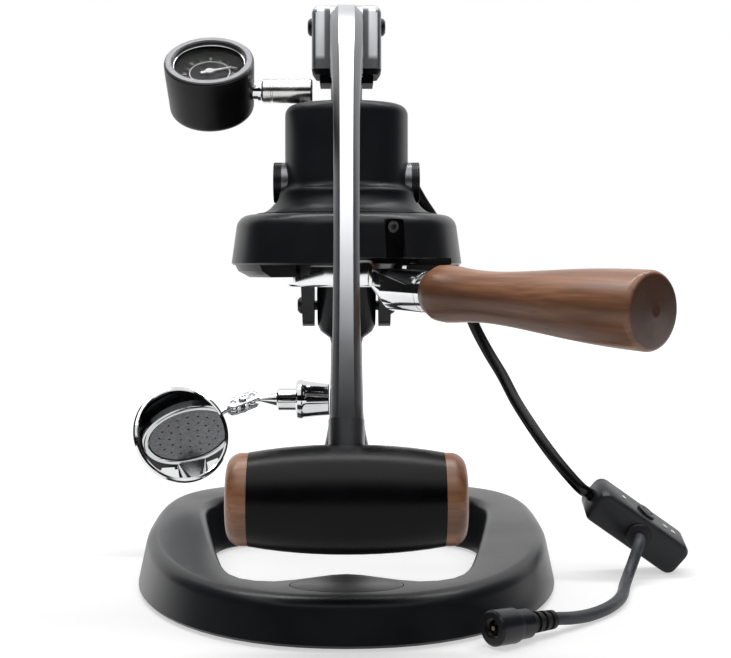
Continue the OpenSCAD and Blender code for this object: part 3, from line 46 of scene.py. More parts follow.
camera_data.lens = focal_pixels * camera_data.sensor_width / picture_width
camera_data.shift_x = (picture_width / 2 - lens_centre_x) / picture_width
camera_data.shift_y = (lens_centre_y - picture_height / 2) / picture_width
camera = bpy.data.objects.new("camera", camera_data)
camera.location = (0, -0.75, 0.175)
camera.rotation_euler = (math.pi / 2, 0, 0)
bpy.context.scene.collection.objects.link(camera)
bpy.context.scene.camera = camera
bpy.context.scene.view_settings.view_transform = "Standard"


# Heater lead: a slightly oval cable in a glossy black jacket, grooved along both flats. It leaves a gland
# at the rear of the brew head, hangs down behind the collar and goes into the controller's upper end.
mm = 0.001


def new_group(name, inputs, outputs):
    """An empty shader group with named sockets."""
    group = bpy.data.node_groups.new(name, "ShaderNodeTree")
    for label, kind in inputs:
        group.interface.new_socket(label, in_out="INPUT", socket_type=kind)
    for label, kind in outputs:
        group.interface.new_socket(label, in_out="OUTPUT", socket_type=kind)
    return group, group.nodes.new("NodeGroupInput").outputs, group.nodes.new("NodeGroupOutput").inputs


def ranged(tree, value, low, high, to_low, to_high):
    """A value between two limits spread over two new limits, each a number or a socket."""
    node = tree.nodes.new("ShaderNodeMapRange")
    tree.links.new(value, node.inputs["Value"])
    for label, limit in (("From Min", low), ("From Max", high), ("To Min", to_low), ("To Max", to_high)):
        if isinstance(limit, bpy.types.NodeSocket):
            tree.links.new(limit, node.inputs[label])
        else:
            node.inputs[label].default_value = limit
    return node.outputs["Result"]


def mixed(tree, share, first, second):
    """A colour between two others by a share that varies over the surface."""
    node = tree.nodes.new("ShaderNodeMix")
    node.data_type = "RGBA"
    tree.links.new(share, node.inputs["Factor"])
    tree.links.new(first, node.inputs["A"])
    tree.links.new(second, node.inputs["B"])
    return node.outputs["Result"]


def noise(tree, place, scale, detail):
    """Noise at a place, with a scale that is a number or a socket."""
    node = tree.nodes.new("ShaderNodeTexNoise")
    node.inputs["Detail"].default_value = detail
    tree.links.new(place, node.inputs["Vector"])
    if isinstance(scale, bpy.types.NodeSocket):
        tree.links.new(scale, node.inputs["Scale"])
    else:
        node.inputs["Scale"].default_value = scale
    return node.outputs["Fac"]


# Fine grain, shared by most finishes: slow clouds move colour and gloss, and a fine grain gives height
fine_grain, given, result = new_group(
    "fine_grain",
    [("Dark", "NodeSocketColor"), ("Light", "NodeSocketColor"), ("Smooth", "NodeSocketFloat"),
     ("Rough", "NodeSocketFloat"), ("Cloud Scale", "NodeSocketFloat"), ("Grain Scale", "NodeSocketFloat")],
    [("Color", "NodeSocketColor"), ("Roughness", "NodeSocketFloat"), ("Height", "NodeSocketFloat")])
grain_place = fine_grain.nodes.new("ShaderNodeTexCoord").outputs["Object"]
clouds = noise(fine_grain, grain_place, given["Cloud Scale"], 3)
cloud_share = ranged(fine_grain, clouds, 0.35, 0.65, 0, 1)
fine_grain.links.new(mixed(fine_grain, cloud_share, given["Dark"], given["Light"]), result["Color"])
cloud_gloss = ranged(fine_grain, clouds, 0.3, 0.7, given["Smooth"], given["Rough"])
fine_grain.links.new(cloud_gloss, result["Roughness"])
fine_grain.links.new(noise(fine_grain, grain_place, given["Grain Scale"], 2), result["Height"])


def finish(name, dark, light, smooth, rough, cloud=40, grain=2500, bump=0.1, fixed=None):
    """A material whose colour and gloss drift between two limits, with a fine grain."""
    made = bpy.data.materials.new(name)
    made.use_nodes = True
    tree = made.node_tree
    shader = tree.nodes["Principled BSDF"]
    surface = tree.nodes.new("ShaderNodeGroup")
    surface.node_tree = fine_grain
    surface.inputs["Dark"].default_value = (*dark, 1)
    surface.inputs["Light"].default_value = (*light, 1)
    surface.inputs["Smooth"].default_value = smooth
    surface.inputs["Rough"].default_value = rough
    surface.inputs["Cloud Scale"].default_value = cloud
    surface.inputs["Grain Scale"].default_value = grain
    tree.links.new(surface.outputs["Color"], shader.inputs["Base Color"])
    tree.links.new(surface.outputs["Roughness"], shader.inputs["Roughness"])
    relief = tree.nodes.new("ShaderNodeBump")
    relief.inputs["Strength"].default_value = bump
    relief.inputs["Distance"].default_value = 0.1 * mm
    tree.links.new(surface.outputs["Height"], relief.inputs["Height"])
    tree.links.new(relief.outputs["Normal"], shader.inputs["Normal"])
    for label, value in (fixed or {}).items():
        shader.inputs[label].default_value = value
    return made


def piece(name, points, faces, material, body, crease=40):
    """A mesh piece in a material, which rides on a body."""
    mesh = bpy.data.meshes.new(name)
    mesh.from_pydata(points, [], faces)
    mesh.shade_smooth()
    mesh.set_sharp_from_angle(angle=math.radians(crease))
    mesh.materials.append(material)
    made = bpy.data.objects.new(name, mesh)
    bpy.context.scene.collection.objects.link(made)
    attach(made, body)
    return made


def smooth_line(route, steps):
    """Points on the smooth curve through a route, the same curve that the CAD source sweeps."""
    last = len(route) - 1
    ways = []
    for i in range(last + 1):
        before, after = max(i - 1, 0), min(i + 1, last)
        ways.append((route[after] - route[before]) / (after - before))
    line = []
    for i in range(last):
        for k in range(steps):
            t = k / steps
            line.append(route[i] * (2 * t**3 - 3 * t**2 + 1) + ways[i] * (t**3 - 2 * t**2 + t)
                        + route[i + 1] * (3 * t**2 - 2 * t**3) + ways[i + 1] * (t**3 - t**2))
    return line + [route[last]]


def swept(line, outline, across, closed=False):
    """Points and faces of an outline swept along a line, which has two ends or closes on itself."""
    count, last = len(line), len(line) - 1
    points = []
    for i, place in enumerate(line):
        before, after = (i - 1, (i + 1) % count) if closed else (max(i - 1, 0), min(i + 1, last))
        way = (line[after] - line[before]).normalized()
        side = way.cross(across).normalized()
        top = side.cross(way)
        points += [place + x * side + y * top for x, y in outline]
    n = len(outline)
    faces = []
    for i in range(count if closed else last):
        here, there = i * n, (i + 1) % count * n
        faces += [(here + j, here + (j + 1) % n, there + (j + 1) % n, there + j) for j in range(n)]
    if not closed:
        faces += [tuple(range(n - 1, -1, -1)), tuple(range(len(points) - n, len(points)))]
    return points, faces


gland_angle = math.radians(62)
gland_reach, gland_height, gland_run = 41.5, 241, 5
gland_way = Vector((math.cos(gland_angle), math.sin(gland_angle), 0))
lead_start = gland_reach * gland_way + Vector((0, 0, gland_height))
box_yaw, box_fall, box_roll = math.radians(10), math.radians(35), math.radians(20)
box_place = Vector((164, 31.6, 26.6))
box_length, box_depth = 63, 24
box_way = Vector((math.cos(box_yaw) * math.cos(box_fall), math.sin(box_yaw) * math.cos(box_fall),
                  -math.sin(box_fall)))
box_level = Vector((math.sin(box_yaw), -math.cos(box_yaw), 0))
box_face = math.cos(box_roll) * box_level - math.sin(box_roll) * box_level.cross(box_way)
lead_sunk, box_runs = 1.8, (10, 4)
lead_end = box_place - box_way * (box_length / 2 - lead_sunk)
lead_hand_points = [(26, 49, 239.5), (31, 55.5, 235), (35.5, 60, 229), (40, 62.5, 221), (45, 64, 212.5),
                    (50, 64.5, 205), (56.5, 65.5, 194.5), (62, 67.5, 179), (68.5, 70, 160), (76, 71, 140),
                    (84, 68, 124), (92, 61.5, 110), (99, 53, 95.5), (107, 43.5, 82), (115, 35.5, 70),
                    (123, 29.5, 59.5)]
lead_route = [lead_start, lead_start + gland_run * gland_way, *[Vector(p) for p in lead_hand_points],
              *[lead_end - run * box_way for run in box_runs], lead_end]
route_steps = 6
lead_line = [p * mm for p in smooth_line(lead_route, route_steps)]
lead_width = 6.8 * mm
lead_thick = 6.2 * mm
groove_depth, groove_share = 0.06, 0.2
oval_sides = 32
oval_outline = []
for k in range(oval_sides):
    turn = 2 * math.pi * k / oval_sides
    across, up = math.cos(turn), math.sin(turn)
    groove = 1 - groove_depth * math.exp(-(across / groove_share)**2)
    oval_outline.append((lead_width / 2 * across, lead_thick / 2 * up * groove))
lead_jacket = finish("lead_jacket", (0.003, 0.003, 0.004), (0.006, 0.006, 0.007), 0.22, 0.32, cloud=60,
                     grain=900, bump=0.06, fixed={"Specular IOR Level": 0.3})
lead_points, lead_faces = swept(lead_line, oval_outline, Vector((0, 1, 0)))
lead = piece("heater_lead", lead_points, lead_faces, lead_jacket, "stand", crease=60)
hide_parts("lead_cord")


# Pigtail: a short round cable with a dull grey-black jacket. It comes out of the grommet on the
# controller's face, drops to the table and runs forward to the socket.
def ring_of(radius, sides):
    """Points of a round outline."""
    turns = [2 * math.pi * k / sides for k in range(sides)]
    return [(radius * math.cos(turn), radius * math.sin(turn)) for turn in turns]


jack_way = Vector((-0.773, -0.627, 0.06)).normalized()
jack_width, jack_lift = 16.4, 0.9
jack_place = Vector((66.2, -124, jack_width / 2 + jack_lift))
jack_length, relief_length = 24, 16.5
grommet_out, grommet_run, jack_runs = 2.5, 3, (5, 2)
pigtail_start = box_place + box_face * (box_depth / 2 + grommet_out)
pigtail_end = jack_place - jack_way * (jack_length + relief_length)
pigtail_hand_points = [(161.5, 9.5, 19), (157.5, 5, 11.2), (153, -3, 5.2), (148.5, -17, 3.4), (145, -31, 3.3),
                       (140.5, -44.5, 3.3), (134.5, -57, 3.3), (127, -68.5, 3.3), (118, -79, 3.6),
                       (108.6, -88.8, 4.9)]
pigtail_route = [pigtail_start, pigtail_start + grommet_run * box_face,
                 *[Vector(p) for p in pigtail_hand_points],
                 *[pigtail_end - run * jack_way for run in jack_runs], pigtail_end]
pigtail_line = [p * mm for p in smooth_line(pigtail_route, route_steps)]
pigtail_width = 6.2 * mm
pigtail_sides = 20
round_outline = ring_of(pigtail_width / 2, pigtail_sides)
pigtail_jacket = finish("pigtail_jacket", (0.045, 0.05, 0.058), (0.075, 0.08, 0.09), 0.42, 0.55, cloud=90,
                        grain=2200, bump=0.15, fixed={"Specular IOR Level": 0.3})
pigtail_points, pigtail_faces = swept(pigtail_line, round_outline, Vector((0, 0, 1)))
pigtail = piece("pigtail", pigtail_points, pigtail_faces, pigtail_jacket, "stand", crease=60)
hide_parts("pigtail_cord")


# Studio: a white paper floor and a white world, lit by a long softbox overhead and a broad one above the
# front. Dark cloth in front and at the sides keeps satin black dark but for the softboxes.
def seen_rays(tree):
    """One for rays that show the background, straight or in metal and glass, and zero for the others."""
    path = tree.nodes.new("ShaderNodeLightPath").outputs
    both = tree.nodes.new("ShaderNodeMath")
    tree.links.new(path["Is Camera Ray"], both.inputs[0])
    tree.links.new(path["Is Glossy Ray"], both.inputs[1])
    every = tree.nodes.new("ShaderNodeMath")
    tree.links.new(both.outputs["Value"], every.inputs[0])
    tree.links.new(path["Is Transmission Ray"], every.inputs[1])
    return every.outputs["Value"]


world = bpy.data.worlds.new("white_studio")
bpy.context.scene.world = world
world.use_nodes = True
background = world.node_tree.nodes["Background"]
background.inputs["Color"].default_value = (1, 1, 1, 1)
world_fill, world_seen = 0.3, 1.0
world.node_tree.links.new(ranged(world.node_tree, seen_rays(world.node_tree), 0, 1, world_fill, world_seen),
                          background.inputs["Strength"])


def card(name, width, height, place, turn, material):
    """A flat studio card of that size, turned in degrees."""
    w, h = width / 2, height / 2
    mesh = bpy.data.meshes.new(name)
    mesh.from_pydata([(-w, -h, 0), (w, -h, 0), (w, h, 0), (-w, h, 0)], [], [(0, 1, 2, 3)])
    mesh.materials.append(material)
    made = bpy.data.objects.new(name, mesh)
    made.location = place
    made.rotation_euler = [math.radians(a) for a in turn]
    bpy.context.scene.collection.objects.link(made)
    return made


paper = finish("floor_paper", (0.52, 0.52, 0.52), (0.54, 0.54, 0.54), 0.9, 1.0, cloud=2, grain=400,
               bump=0.02, fixed={"Specular IOR Level": 0.0})
paper_tree = paper.node_tree
paper_shader = paper_tree.nodes["Principled BSDF"]
paper_distance = paper_tree.nodes.new("ShaderNodeVectorMath")
paper_distance.operation = "LENGTH"
paper_tree.links.new(paper_tree.nodes.new("ShaderNodeTexCoord").outputs["Object"], paper_distance.inputs[0])
near, far = 0.3, 1.2
near_glow, far_glow = 0.56, 1.0
paper_tree.links.new(ranged(paper_tree, paper_distance.outputs["Value"], near, far, near_glow, far_glow),
                     paper_shader.inputs["Emission Color"])
paper_tree.links.new(seen_rays(paper_tree), paper_shader.inputs["Emission Strength"])
card("floor", width=12, height=12, place=(0, 0, -0.3 * mm), turn=(0, 0, 0), material=paper)
cloth = finish("dark_cloth", (0.012, 0.012, 0.012), (0.02, 0.02, 0.02), 0.9, 1.0, cloud=6, grain=300,
               fixed={"Specular IOR Level": 0.0})
for name, width, height, place, turn in (("front_cloth", 4, 1.0, (0, -1.42, 0.5), (70, 0, 0)),
                                         ("left_cloth", 2.3, 1.2, (-1.25, -0.4, 0.61), (90, 0, 90)),
                                         ("right_cloth", 2.3, 1.2, (1.25, -0.4, 0.61), (90, 0, 90))):
    card(name, width, height, place, turn, cloth).visible_camera = False


def softbox(name, watts, width, height, place, aim):
    """A rectangular lamp at a place, aimed at a point."""
    lamp = bpy.data.lights.new(name, "AREA")
    lamp.shape = "RECTANGLE"
    lamp.energy = watts
    lamp.size = width
    lamp.size_y = height
    made = bpy.data.objects.new(name, lamp)
    made.location = place
    made.rotation_euler = (Vector(aim) - Vector(place)).to_track_quat("-Z", "Y").to_euler()
    bpy.context.scene.collection.objects.link(made)


softbox("top_softbox", watts=14, width=2.0, height=0.2, place=(0, 0.25, 1.3), aim=(0, 0.25, 0))
softbox("front_softbox", watts=7, width=1.4, height=1.0, place=(0, -0.6, 1.35), aim=(0, -0.15, 0.2))


# Base: a ring casting with a satin black powder coat, wide and low, with a rounded outer edge and a steep
# inner wall. It stands on four rubber feet and has a bare oval badge let into its front.
def dress(name, material, crease=30, soften=0):
    """The CAD node of that name in a material, smooth but for its creases, which can be softened."""
    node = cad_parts[name]
    node.data.shade_smooth()
    weld = node.modifiers.new("weld", "WELD")
    weld.merge_threshold = 0.005 * mm
    if soften:
        edges = node.modifiers.new("soft_edges", "BEVEL")
        edges.width = soften
        edges.segments = 2
        edges.limit_method = "ANGLE"
        edges.angle_limit = math.radians(crease)
    split = node.modifiers.new("creases", "EDGE_SPLIT")
    split.split_angle = math.radians(crease)
    node.data.materials.clear()
    node.data.materials.append(material)


black_coat = finish("black_coat", (0.014, 0.015, 0.018), (0.02, 0.0213, 0.025), 0.27, 0.35, cloud=25,
                    grain=2600, bump=0.12, fixed={"Specular IOR Level": 0.3})
dress("base_ring", black_coat)
foot_rubber = finish("foot_rubber", (0.008, 0.008, 0.008), (0.016, 0.016, 0.016), 0.6, 0.75, cloud=120,
                     grain=1800, bump=0.2)
dress("base_feet", foot_rubber)
badge_coat = finish("badge_coat", (0.005, 0.005, 0.006), (0.009, 0.009, 0.01), 0.3, 0.38, cloud=60,
                    grain=3500, bump=0.1, fixed={"Specular IOR Level": 0.35})
dress("base_badge", badge_coat, soften=0.25 * mm)


# Post: a curved casting that leans forward from the rear of the base, in the same black coat, bolted up
# through the base with two socket screws.
dress("post", black_coat, crease=40)
black_oxide = finish("black_oxide", (0.012, 0.012, 0.013), (0.03, 0.03, 0.032), 0.28, 0.42, cloud=300,
                     grain=5000, bump=0.08, fixed={"Metallic": 0.7})
dress("post_bolts", black_oxide)


# Fork: a dark grey coated block with two ears that hold the fulcrum, on a black shim on the post's top, held
# down by one bolt. Its downward faces are painted near black as painted shade, and a bright stripe down each
# ear's front is a painted highlight.
def split_place(tree):
    """The three parts of a place on the object."""
    parts = tree.nodes.new("ShaderNodeSeparateXYZ")
    tree.links.new(tree.nodes.new("ShaderNodeTexCoord").outputs["Object"], parts.inputs["Vector"])
    return parts.outputs


def fade_into(tree, share, colour):
    """Turns a material's colour into another one where the share is nought."""
    base_colour = tree.nodes["Principled BSDF"].inputs["Base Color"]
    other = tree.nodes.new("ShaderNodeRGB").outputs["Color"]
    other.default_value = (*colour, 1)
    tree.links.new(mixed(tree, share, other, base_colour.links[0].from_socket), base_colour)


fork_coat = finish("fork_coat", (0.3, 0.31, 0.325), (0.36, 0.37, 0.385), 0.38, 0.46, cloud=35, grain=3000,
                   bump=0.04, fixed={"Metallic": 1})
dress("lever_fork", fork_coat)
coat_colour = (0.2, 0.205, 0.215)
side_start, side_full = 11.7 * mm, 12.9 * mm
foot_start, foot_full = 289.5 * mm, 292 * mm
front_facing, under_facing = -0.88, -0.2
# Painted highlight: the ears' front faces are painted bright metal, fading to a darker coat colour towards
# the middle and the bottom, in place of the light reflected there.
painted_highlight_ears = finish("painted_highlight_ears", (0.9, 0.91, 0.93), (0.95, 0.96, 0.98), 0.58, 0.64, cloud=35,
                     grain=3000, bump=0.04, fixed={"Metallic": 1})
ears_tree = painted_highlight_ears.node_tree
ears_place = split_place(ears_tree)
from_middle = ears_tree.nodes.new("ShaderNodeMath")
from_middle.operation = "ABSOLUTE"
ears_tree.links.new(ears_place["X"], from_middle.inputs[0])
stripe = ears_tree.nodes.new("ShaderNodeMath")
stripe.operation = "MULTIPLY"
stripe_side = ranged(ears_tree, from_middle.outputs["Value"], side_start, side_full, 0, 1)
stripe_foot = ranged(ears_tree, ears_place["Z"], foot_start, foot_full, 0, 1)
ears_tree.links.new(stripe_side, stripe.inputs[0])
ears_tree.links.new(stripe_foot, stripe.inputs[1])
fade_into(ears_tree, stripe.outputs["Value"], coat_colour)
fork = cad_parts["lever_fork"].data
# Near black: the shim's own colour, and painted shade on the fork's downward faces.
shim_black_and_painted_shade = finish("shim_black_and_painted_shade", (0.01, 0.01, 0.012), (0.016, 0.016, 0.019), 0.5, 0.6, cloud=60,
                     grain=2600, fixed={"Specular IOR Level": 0.05})
fork.materials.append(painted_highlight_ears)
fork.materials.append(shim_black_and_painted_shade)
# Forward faces take the painted highlight, downward faces the painted shade.
for face in fork.polygons:
    if face.normal.y < front_facing:
        face.material_index = 1
    elif face.normal.z < under_facing:
        face.material_index = 2
dress("fork_shim", shim_black_and_painted_shade)
dress("fork_bolt", black_oxide)


# Collar: a wide turned ring in the black coat, with a flat milled strip for its set screw, bayonet lips
# below and two rear lugs bolted to the post's block. The strip is painted near black as painted shade.
dress("collar", black_coat)
# Painted shade: the flat strip's faces are painted near black, darker than the coat around them.
strip_painted_shade = finish("strip_painted_shade", (0.0015, 0.0015, 0.002), (0.003, 0.003, 0.0035), 0.2, 0.28, cloud=80,
                     grain=3000, bump=0.05, fixed={"Specular IOR Level": 0.2})
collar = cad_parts["collar"].data
collar.materials.append(strip_painted_shade)
strip_angle = math.radians(24)
strip_way = Vector((math.sin(strip_angle), -math.cos(strip_angle), 0))
strip_out = 58.8 * mm
strip_facing, strip_near = 0.999, 0.05 * mm
for face in collar.polygons:
    off_strip = abs(face.center.dot(strip_way) - strip_out)
    if face.normal.dot(strip_way) > strip_facing and off_strip < strip_near:
        face.material_index = 1
zinc = finish("zinc", (0.2, 0.2, 0.21), (0.32, 0.32, 0.33), 0.25, 0.35, cloud=300, grain=4000, bump=0.08,
              fixed={"Metallic": 1})
dress("collar_screw", zinc)
dress("lug_bolts", black_oxide)


# Cradle: a bent plate whose arms hold the cylinder by its trunnions, black, with sunk screws at the arms
# and two bolts into the post.
dress("cradle", black_coat, soften=0.15 * mm)
dress("cradle_bolts", black_oxide)
dress("trunnion_screws", black_oxide)


# Brew cylinder: turned steel with dark coated trunnions, a flange, a rubber group gasket, a drilled spray
# screen and a film heater wrapped round it. Only the trunnions show.
cylinder_coat = finish("cylinder_coat", (0.16, 0.16, 0.17), (0.22, 0.22, 0.23), 0.3, 0.42, cloud=60,
                       grain=3000, bump=0.1, fixed={"Metallic": 0.9})
dress("brew_cylinder", cylinder_coat)
black_rubber = finish("black_rubber", (0.006, 0.006, 0.007), (0.011, 0.011, 0.012), 0.5, 0.62, cloud=60,
                      grain=2600, bump=0.2, fixed={"Specular IOR Level": 0.3})
dress("group_gasket", black_rubber)
plain_steel = finish("plain_steel", (0.5, 0.51, 0.52), (0.62, 0.63, 0.64), 0.2, 0.32, cloud=80,
                     grain=3000, bump=0.06, fixed={"Metallic": 1})
dress("spray_screen", plain_steel)
film_heater = finish("film_heater", (0.3, 0.12, 0.04), (0.42, 0.18, 0.06), 0.35, 0.5, cloud=200,
                     grain=1500)
dress("heater_band", film_heater)


# Sleeve: a moulded cover round the cylinder, matte black with a soft sheen, with a rounded top edge and a
# flared skirt on the collar. The gland at its rear holds the lead.
sleeve_skin = finish("sleeve_skin", (0.009, 0.0105, 0.0135), (0.013, 0.015, 0.0185), 0.34, 0.42, cloud=30,
                     grain=3200, bump=0.15, fixed={"Specular IOR Level": 0.25})
dress("cylinder_sleeve", sleeve_skin)
dress("lead_gland", black_rubber)


# Piston: a turned steel head with two rubber seals, and a rod whose slotted tongue takes the lever's
# drive pin. The lever lifts it by 45 mm.
dress("piston_head", plain_steel)
dress("piston_seals", black_rubber)
dress("piston_rod", plain_steel)


# Lever: a forged arm in the dark grey coat, with a front face painted bright between bevels as a painted
# highlight, fading out towards the handle. It turns on a steel pin with domed caps and drives the rod by a
# smaller pin.
grey_coat = finish("grey_coat", (0.18, 0.185, 0.195), (0.22, 0.225, 0.235), 0.3, 0.36, cloud=35,
                   grain=3000, bump=0.02, fixed={"Metallic": 1})
dress("lever_arm", grey_coat, crease=25)
# Painted highlight: the lever's forward faces above the tang are painted bright metal, fading to the coat
# colour towards the handle, in place of the light they reflect.
painted_highlight_face = finish("painted_highlight_face", (0.48, 0.49, 0.51), (0.55, 0.56, 0.58), 0.28, 0.34, cloud=35,
                     grain=3000, bump=0.02, fixed={"Metallic": 1})
highlight_tree = painted_highlight_face.node_tree
tang_top, fade_top = 104 * mm, 170 * mm
highlight_share = ranged(highlight_tree, split_place(highlight_tree)["Z"], tang_top, fade_top, 0, 1)
fade_into(highlight_tree, highlight_share, coat_colour)
most_sideways, least_forward = 0.1, 0.3
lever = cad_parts["lever_arm"].data
lever.materials.append(painted_highlight_face)
for face in lever.polygons:
    forward = face.normal.z - face.normal.y
    if abs(face.normal.x) < most_sideways and forward > least_forward and face.center.z > tang_top:
        face.material_index = 1
dress("fulcrum_pin", plain_steel)
dress("fulcrum_caps", black_oxide)
dress("drive_pin", plain_steel)


# Handle: a barrel-shaped black grip on a steel core across the end of the lever, with a wooden cap at
# each end. A bolt from below holds it to the lever's tang.
grip_skin = finish("grip_skin", (0.002, 0.002, 0.0025), (0.004, 0.004, 0.005), 0.25, 0.32, cloud=45,
                   grain=1600, bump=0.15, fixed={"Specular IOR Level": 0.12})
dress("handle_grip", grip_skin)
dress("handle_core", plain_steel)
dress("handle_bolt", black_oxide)

# Wood grain, shared by the caps and the portafilter's handle: long streaks and short pores along one
# axis, and darker end grain where the surface looks along that axis
wood_grain, given, result = new_group(
    "wood_grain",
    [("Along", "NodeSocketVector"), ("Facing", "NodeSocketVector"), ("Dark", "NodeSocketColor"),
     ("Light", "NodeSocketColor"), ("End", "NodeSocketColor")],
    [("Color", "NodeSocketColor"), ("Roughness", "NodeSocketFloat"), ("Height", "NodeSocketFloat")])


def grain_noise(along, across, detail):
    """Noise in the wood, drawn out along its grain."""
    drawn = wood_grain.nodes.new("ShaderNodeVectorMath")
    drawn.operation = "MULTIPLY"
    wood_grain.links.new(given["Along"], drawn.inputs[0])
    drawn.inputs[1].default_value = (along, across, across)
    return noise(wood_grain, drawn.outputs["Vector"], 1, detail)


streaks = grain_noise(along=9, across=95, detail=4)
fine_streaks = grain_noise(along=30, across=600, detail=3)
pores = grain_noise(along=160, across=1800, detail=2)
streak_share = ranged(wood_grain, streaks, 0.32, 0.68, 0, 1)
streaked = mixed(wood_grain, streak_share, given["Dark"], given["Light"])
fine_share = ranged(wood_grain, fine_streaks, 0.3, 0.62, 0.45, 1)
facing_parts = wood_grain.nodes.new("ShaderNodeSeparateXYZ")
wood_grain.links.new(given["Facing"], facing_parts.inputs["Vector"])
facing_square = wood_grain.nodes.new("ShaderNodeMath")
facing_square.operation = "MULTIPLY"
for socket in (0, 1):
    wood_grain.links.new(facing_parts.outputs["X"], facing_square.inputs[socket])
end_share = ranged(wood_grain, facing_square.outputs["Value"], 0.5, 0.9, 0, 0.85)
long_grain = mixed(wood_grain, fine_share, given["Dark"], streaked)
wood_grain.links.new(mixed(wood_grain, end_share, long_grain, given["End"]), result["Color"])
wood_grain.links.new(ranged(wood_grain, streaks, 0.3, 0.7, 0.38, 0.3), result["Roughness"])
wood_grain.links.new(pores, result["Height"])


def wood(name, dark, light, end, turn):
    """Oiled wood whose grain runs along the X axis turned by those angles."""
    made = bpy.data.materials.new(name)
    made.use_nodes = True
    tree = made.node_tree
    shader = tree.nodes["Principled BSDF"]
    surface = tree.nodes.new("ShaderNodeTexCoord").outputs
    grain = tree.nodes.new("ShaderNodeGroup")
    grain.node_tree = wood_grain
    for given_way, socket in (("Object", "Along"), ("Normal", "Facing")):
        turned = tree.nodes.new("ShaderNodeVectorRotate")
        turned.rotation_type = "EULER_XYZ"
        turned.inputs["Rotation"].default_value = turn
        tree.links.new(surface[given_way], turned.inputs["Vector"])
        tree.links.new(turned.outputs["Vector"], grain.inputs[socket])
    grain.inputs["Dark"].default_value = (*dark, 1)
    grain.inputs["Light"].default_value = (*light, 1)
    grain.inputs["End"].default_value = (*end, 1)
    relief = tree.nodes.new("ShaderNodeBump")
    relief.inputs["Strength"].default_value = 0.12
    relief.inputs["Distance"].default_value = 0.1 * mm
    tree.links.new(grain.outputs["Height"], relief.inputs["Height"])
    tree.links.new(relief.outputs["Normal"], shader.inputs["Normal"])
    tree.links.new(grain.outputs["Color"], shader.inputs["Base Color"])
    tree.links.new(grain.outputs["Roughness"], shader.inputs["Roughness"])
    shader.inputs["Specular IOR Level"].default_value = 0.45
    return made


walnut_dark, walnut_light, walnut_end = (0.17, 0.073, 0.038), (0.5, 0.235, 0.125), (0.075, 0.04, 0.03)
cap_wood = wood("cap_wood", walnut_dark, walnut_light, walnut_light, (0, 0, 0))
dress("handle_caps", cap_wood)


# Portafilter: a chromed bottomless ring with a round neck, a steel basket held by a wire spring, and a
# turned walnut handle on a steel stud.
chrome = finish("chrome", (0.7, 0.71, 0.72), (0.78, 0.79, 0.8), 0.05, 0.1, cloud=70, grain=4000,
                bump=0.02, fixed={"Metallic": 1})
dress("portafilter_body", chrome, soften=0.2 * mm)
basket_steel = finish("basket_steel", (0.14, 0.14, 0.15), (0.24, 0.24, 0.25), 0.3, 0.42, cloud=500,
                      grain=3000, bump=0.08, fixed={"Metallic": 1})
dress("filter_basket", basket_steel)
dress("basket_spring", plain_steel)
dress("handle_stud", plain_steel)
filter_angle, filter_slope = math.radians(40), math.radians(2.5)
handle_wood = wood("handle_wood", walnut_dark, walnut_light, walnut_end,
                   (0, -filter_slope, math.radians(90) - filter_angle))
dress("portafilter_handle", handle_wood)


# Gauge: a deep black cup with a dark dial behind a clear window, carried on a chromed barrel and riser
# from the piston. The dial has a white ring, a white needle, and marks that start at the needle's rest.
gauge_black = finish("gauge_black", (0.004, 0.004, 0.005), (0.007, 0.007, 0.008), 0.32, 0.4, cloud=50,
                     grain=3500, bump=0.12, fixed={"Specular IOR Level": 0.25})
dress("gauge_case", gauge_black)
bezel_black = finish("bezel_black", (0.1, 0.1, 0.105), (0.13, 0.13, 0.136), 0.36, 0.44, cloud=50,
                     grain=3500, bump=0.1, fixed={"Metallic": 1})
dress("gauge_bezel", bezel_black)
satin_chrome = finish("satin_chrome", (0.62, 0.62, 0.61), (0.7, 0.7, 0.69), 0.2, 0.28, cloud=120,
                      grain=3500, bump=0.05, fixed={"Metallic": 1})
dress("gauge_riser", satin_chrome)
dress("gauge_barrel", satin_chrome)
dress("gauge_stem", chrome)
dial_black = finish("dial_black", (0.008, 0.008, 0.01), (0.013, 0.013, 0.016), 0.5, 0.6, cloud=80,
                    grain=2500, bump=0.05, fixed={"Specular IOR Level": 0.02})
dress("gauge_dial", dial_black)
window_glass = finish("window_glass", (0.01, 0.011, 0.013), (0.015, 0.016, 0.018), 0.05, 0.1, cloud=50,
                      grain=2000, bump=0.0, fixed={"Alpha": 0.05, "Specular IOR Level": 0.2})
dress("gauge_glass", window_glass)
white_paint = finish("white_paint", (0.84, 0.84, 0.84), (0.88, 0.88, 0.88), 0.4, 0.5, cloud=200,
                     grain=3000)
dress("gauge_needle", white_paint)
gauge_tilt = math.radians(50)
gauge_out = Vector((0, -math.cos(gauge_tilt), math.sin(gauge_tilt)))
gauge_up = Vector((0, math.sin(gauge_tilt), math.cos(gauge_tilt)))
gauge_right = Vector((1, 0, 0))
gauge_centre = Vector((-74, 0, 270)) * mm
dial_level = 12 * mm


def on_dial(radius, degrees, height):
    """A point on the dial at a radius and angle, at a height above its face."""
    angle = math.radians(degrees)
    return (gauge_centre + gauge_out * (dial_level + height)
            + radius * (math.cos(angle) * gauge_right + math.sin(angle) * gauge_up))


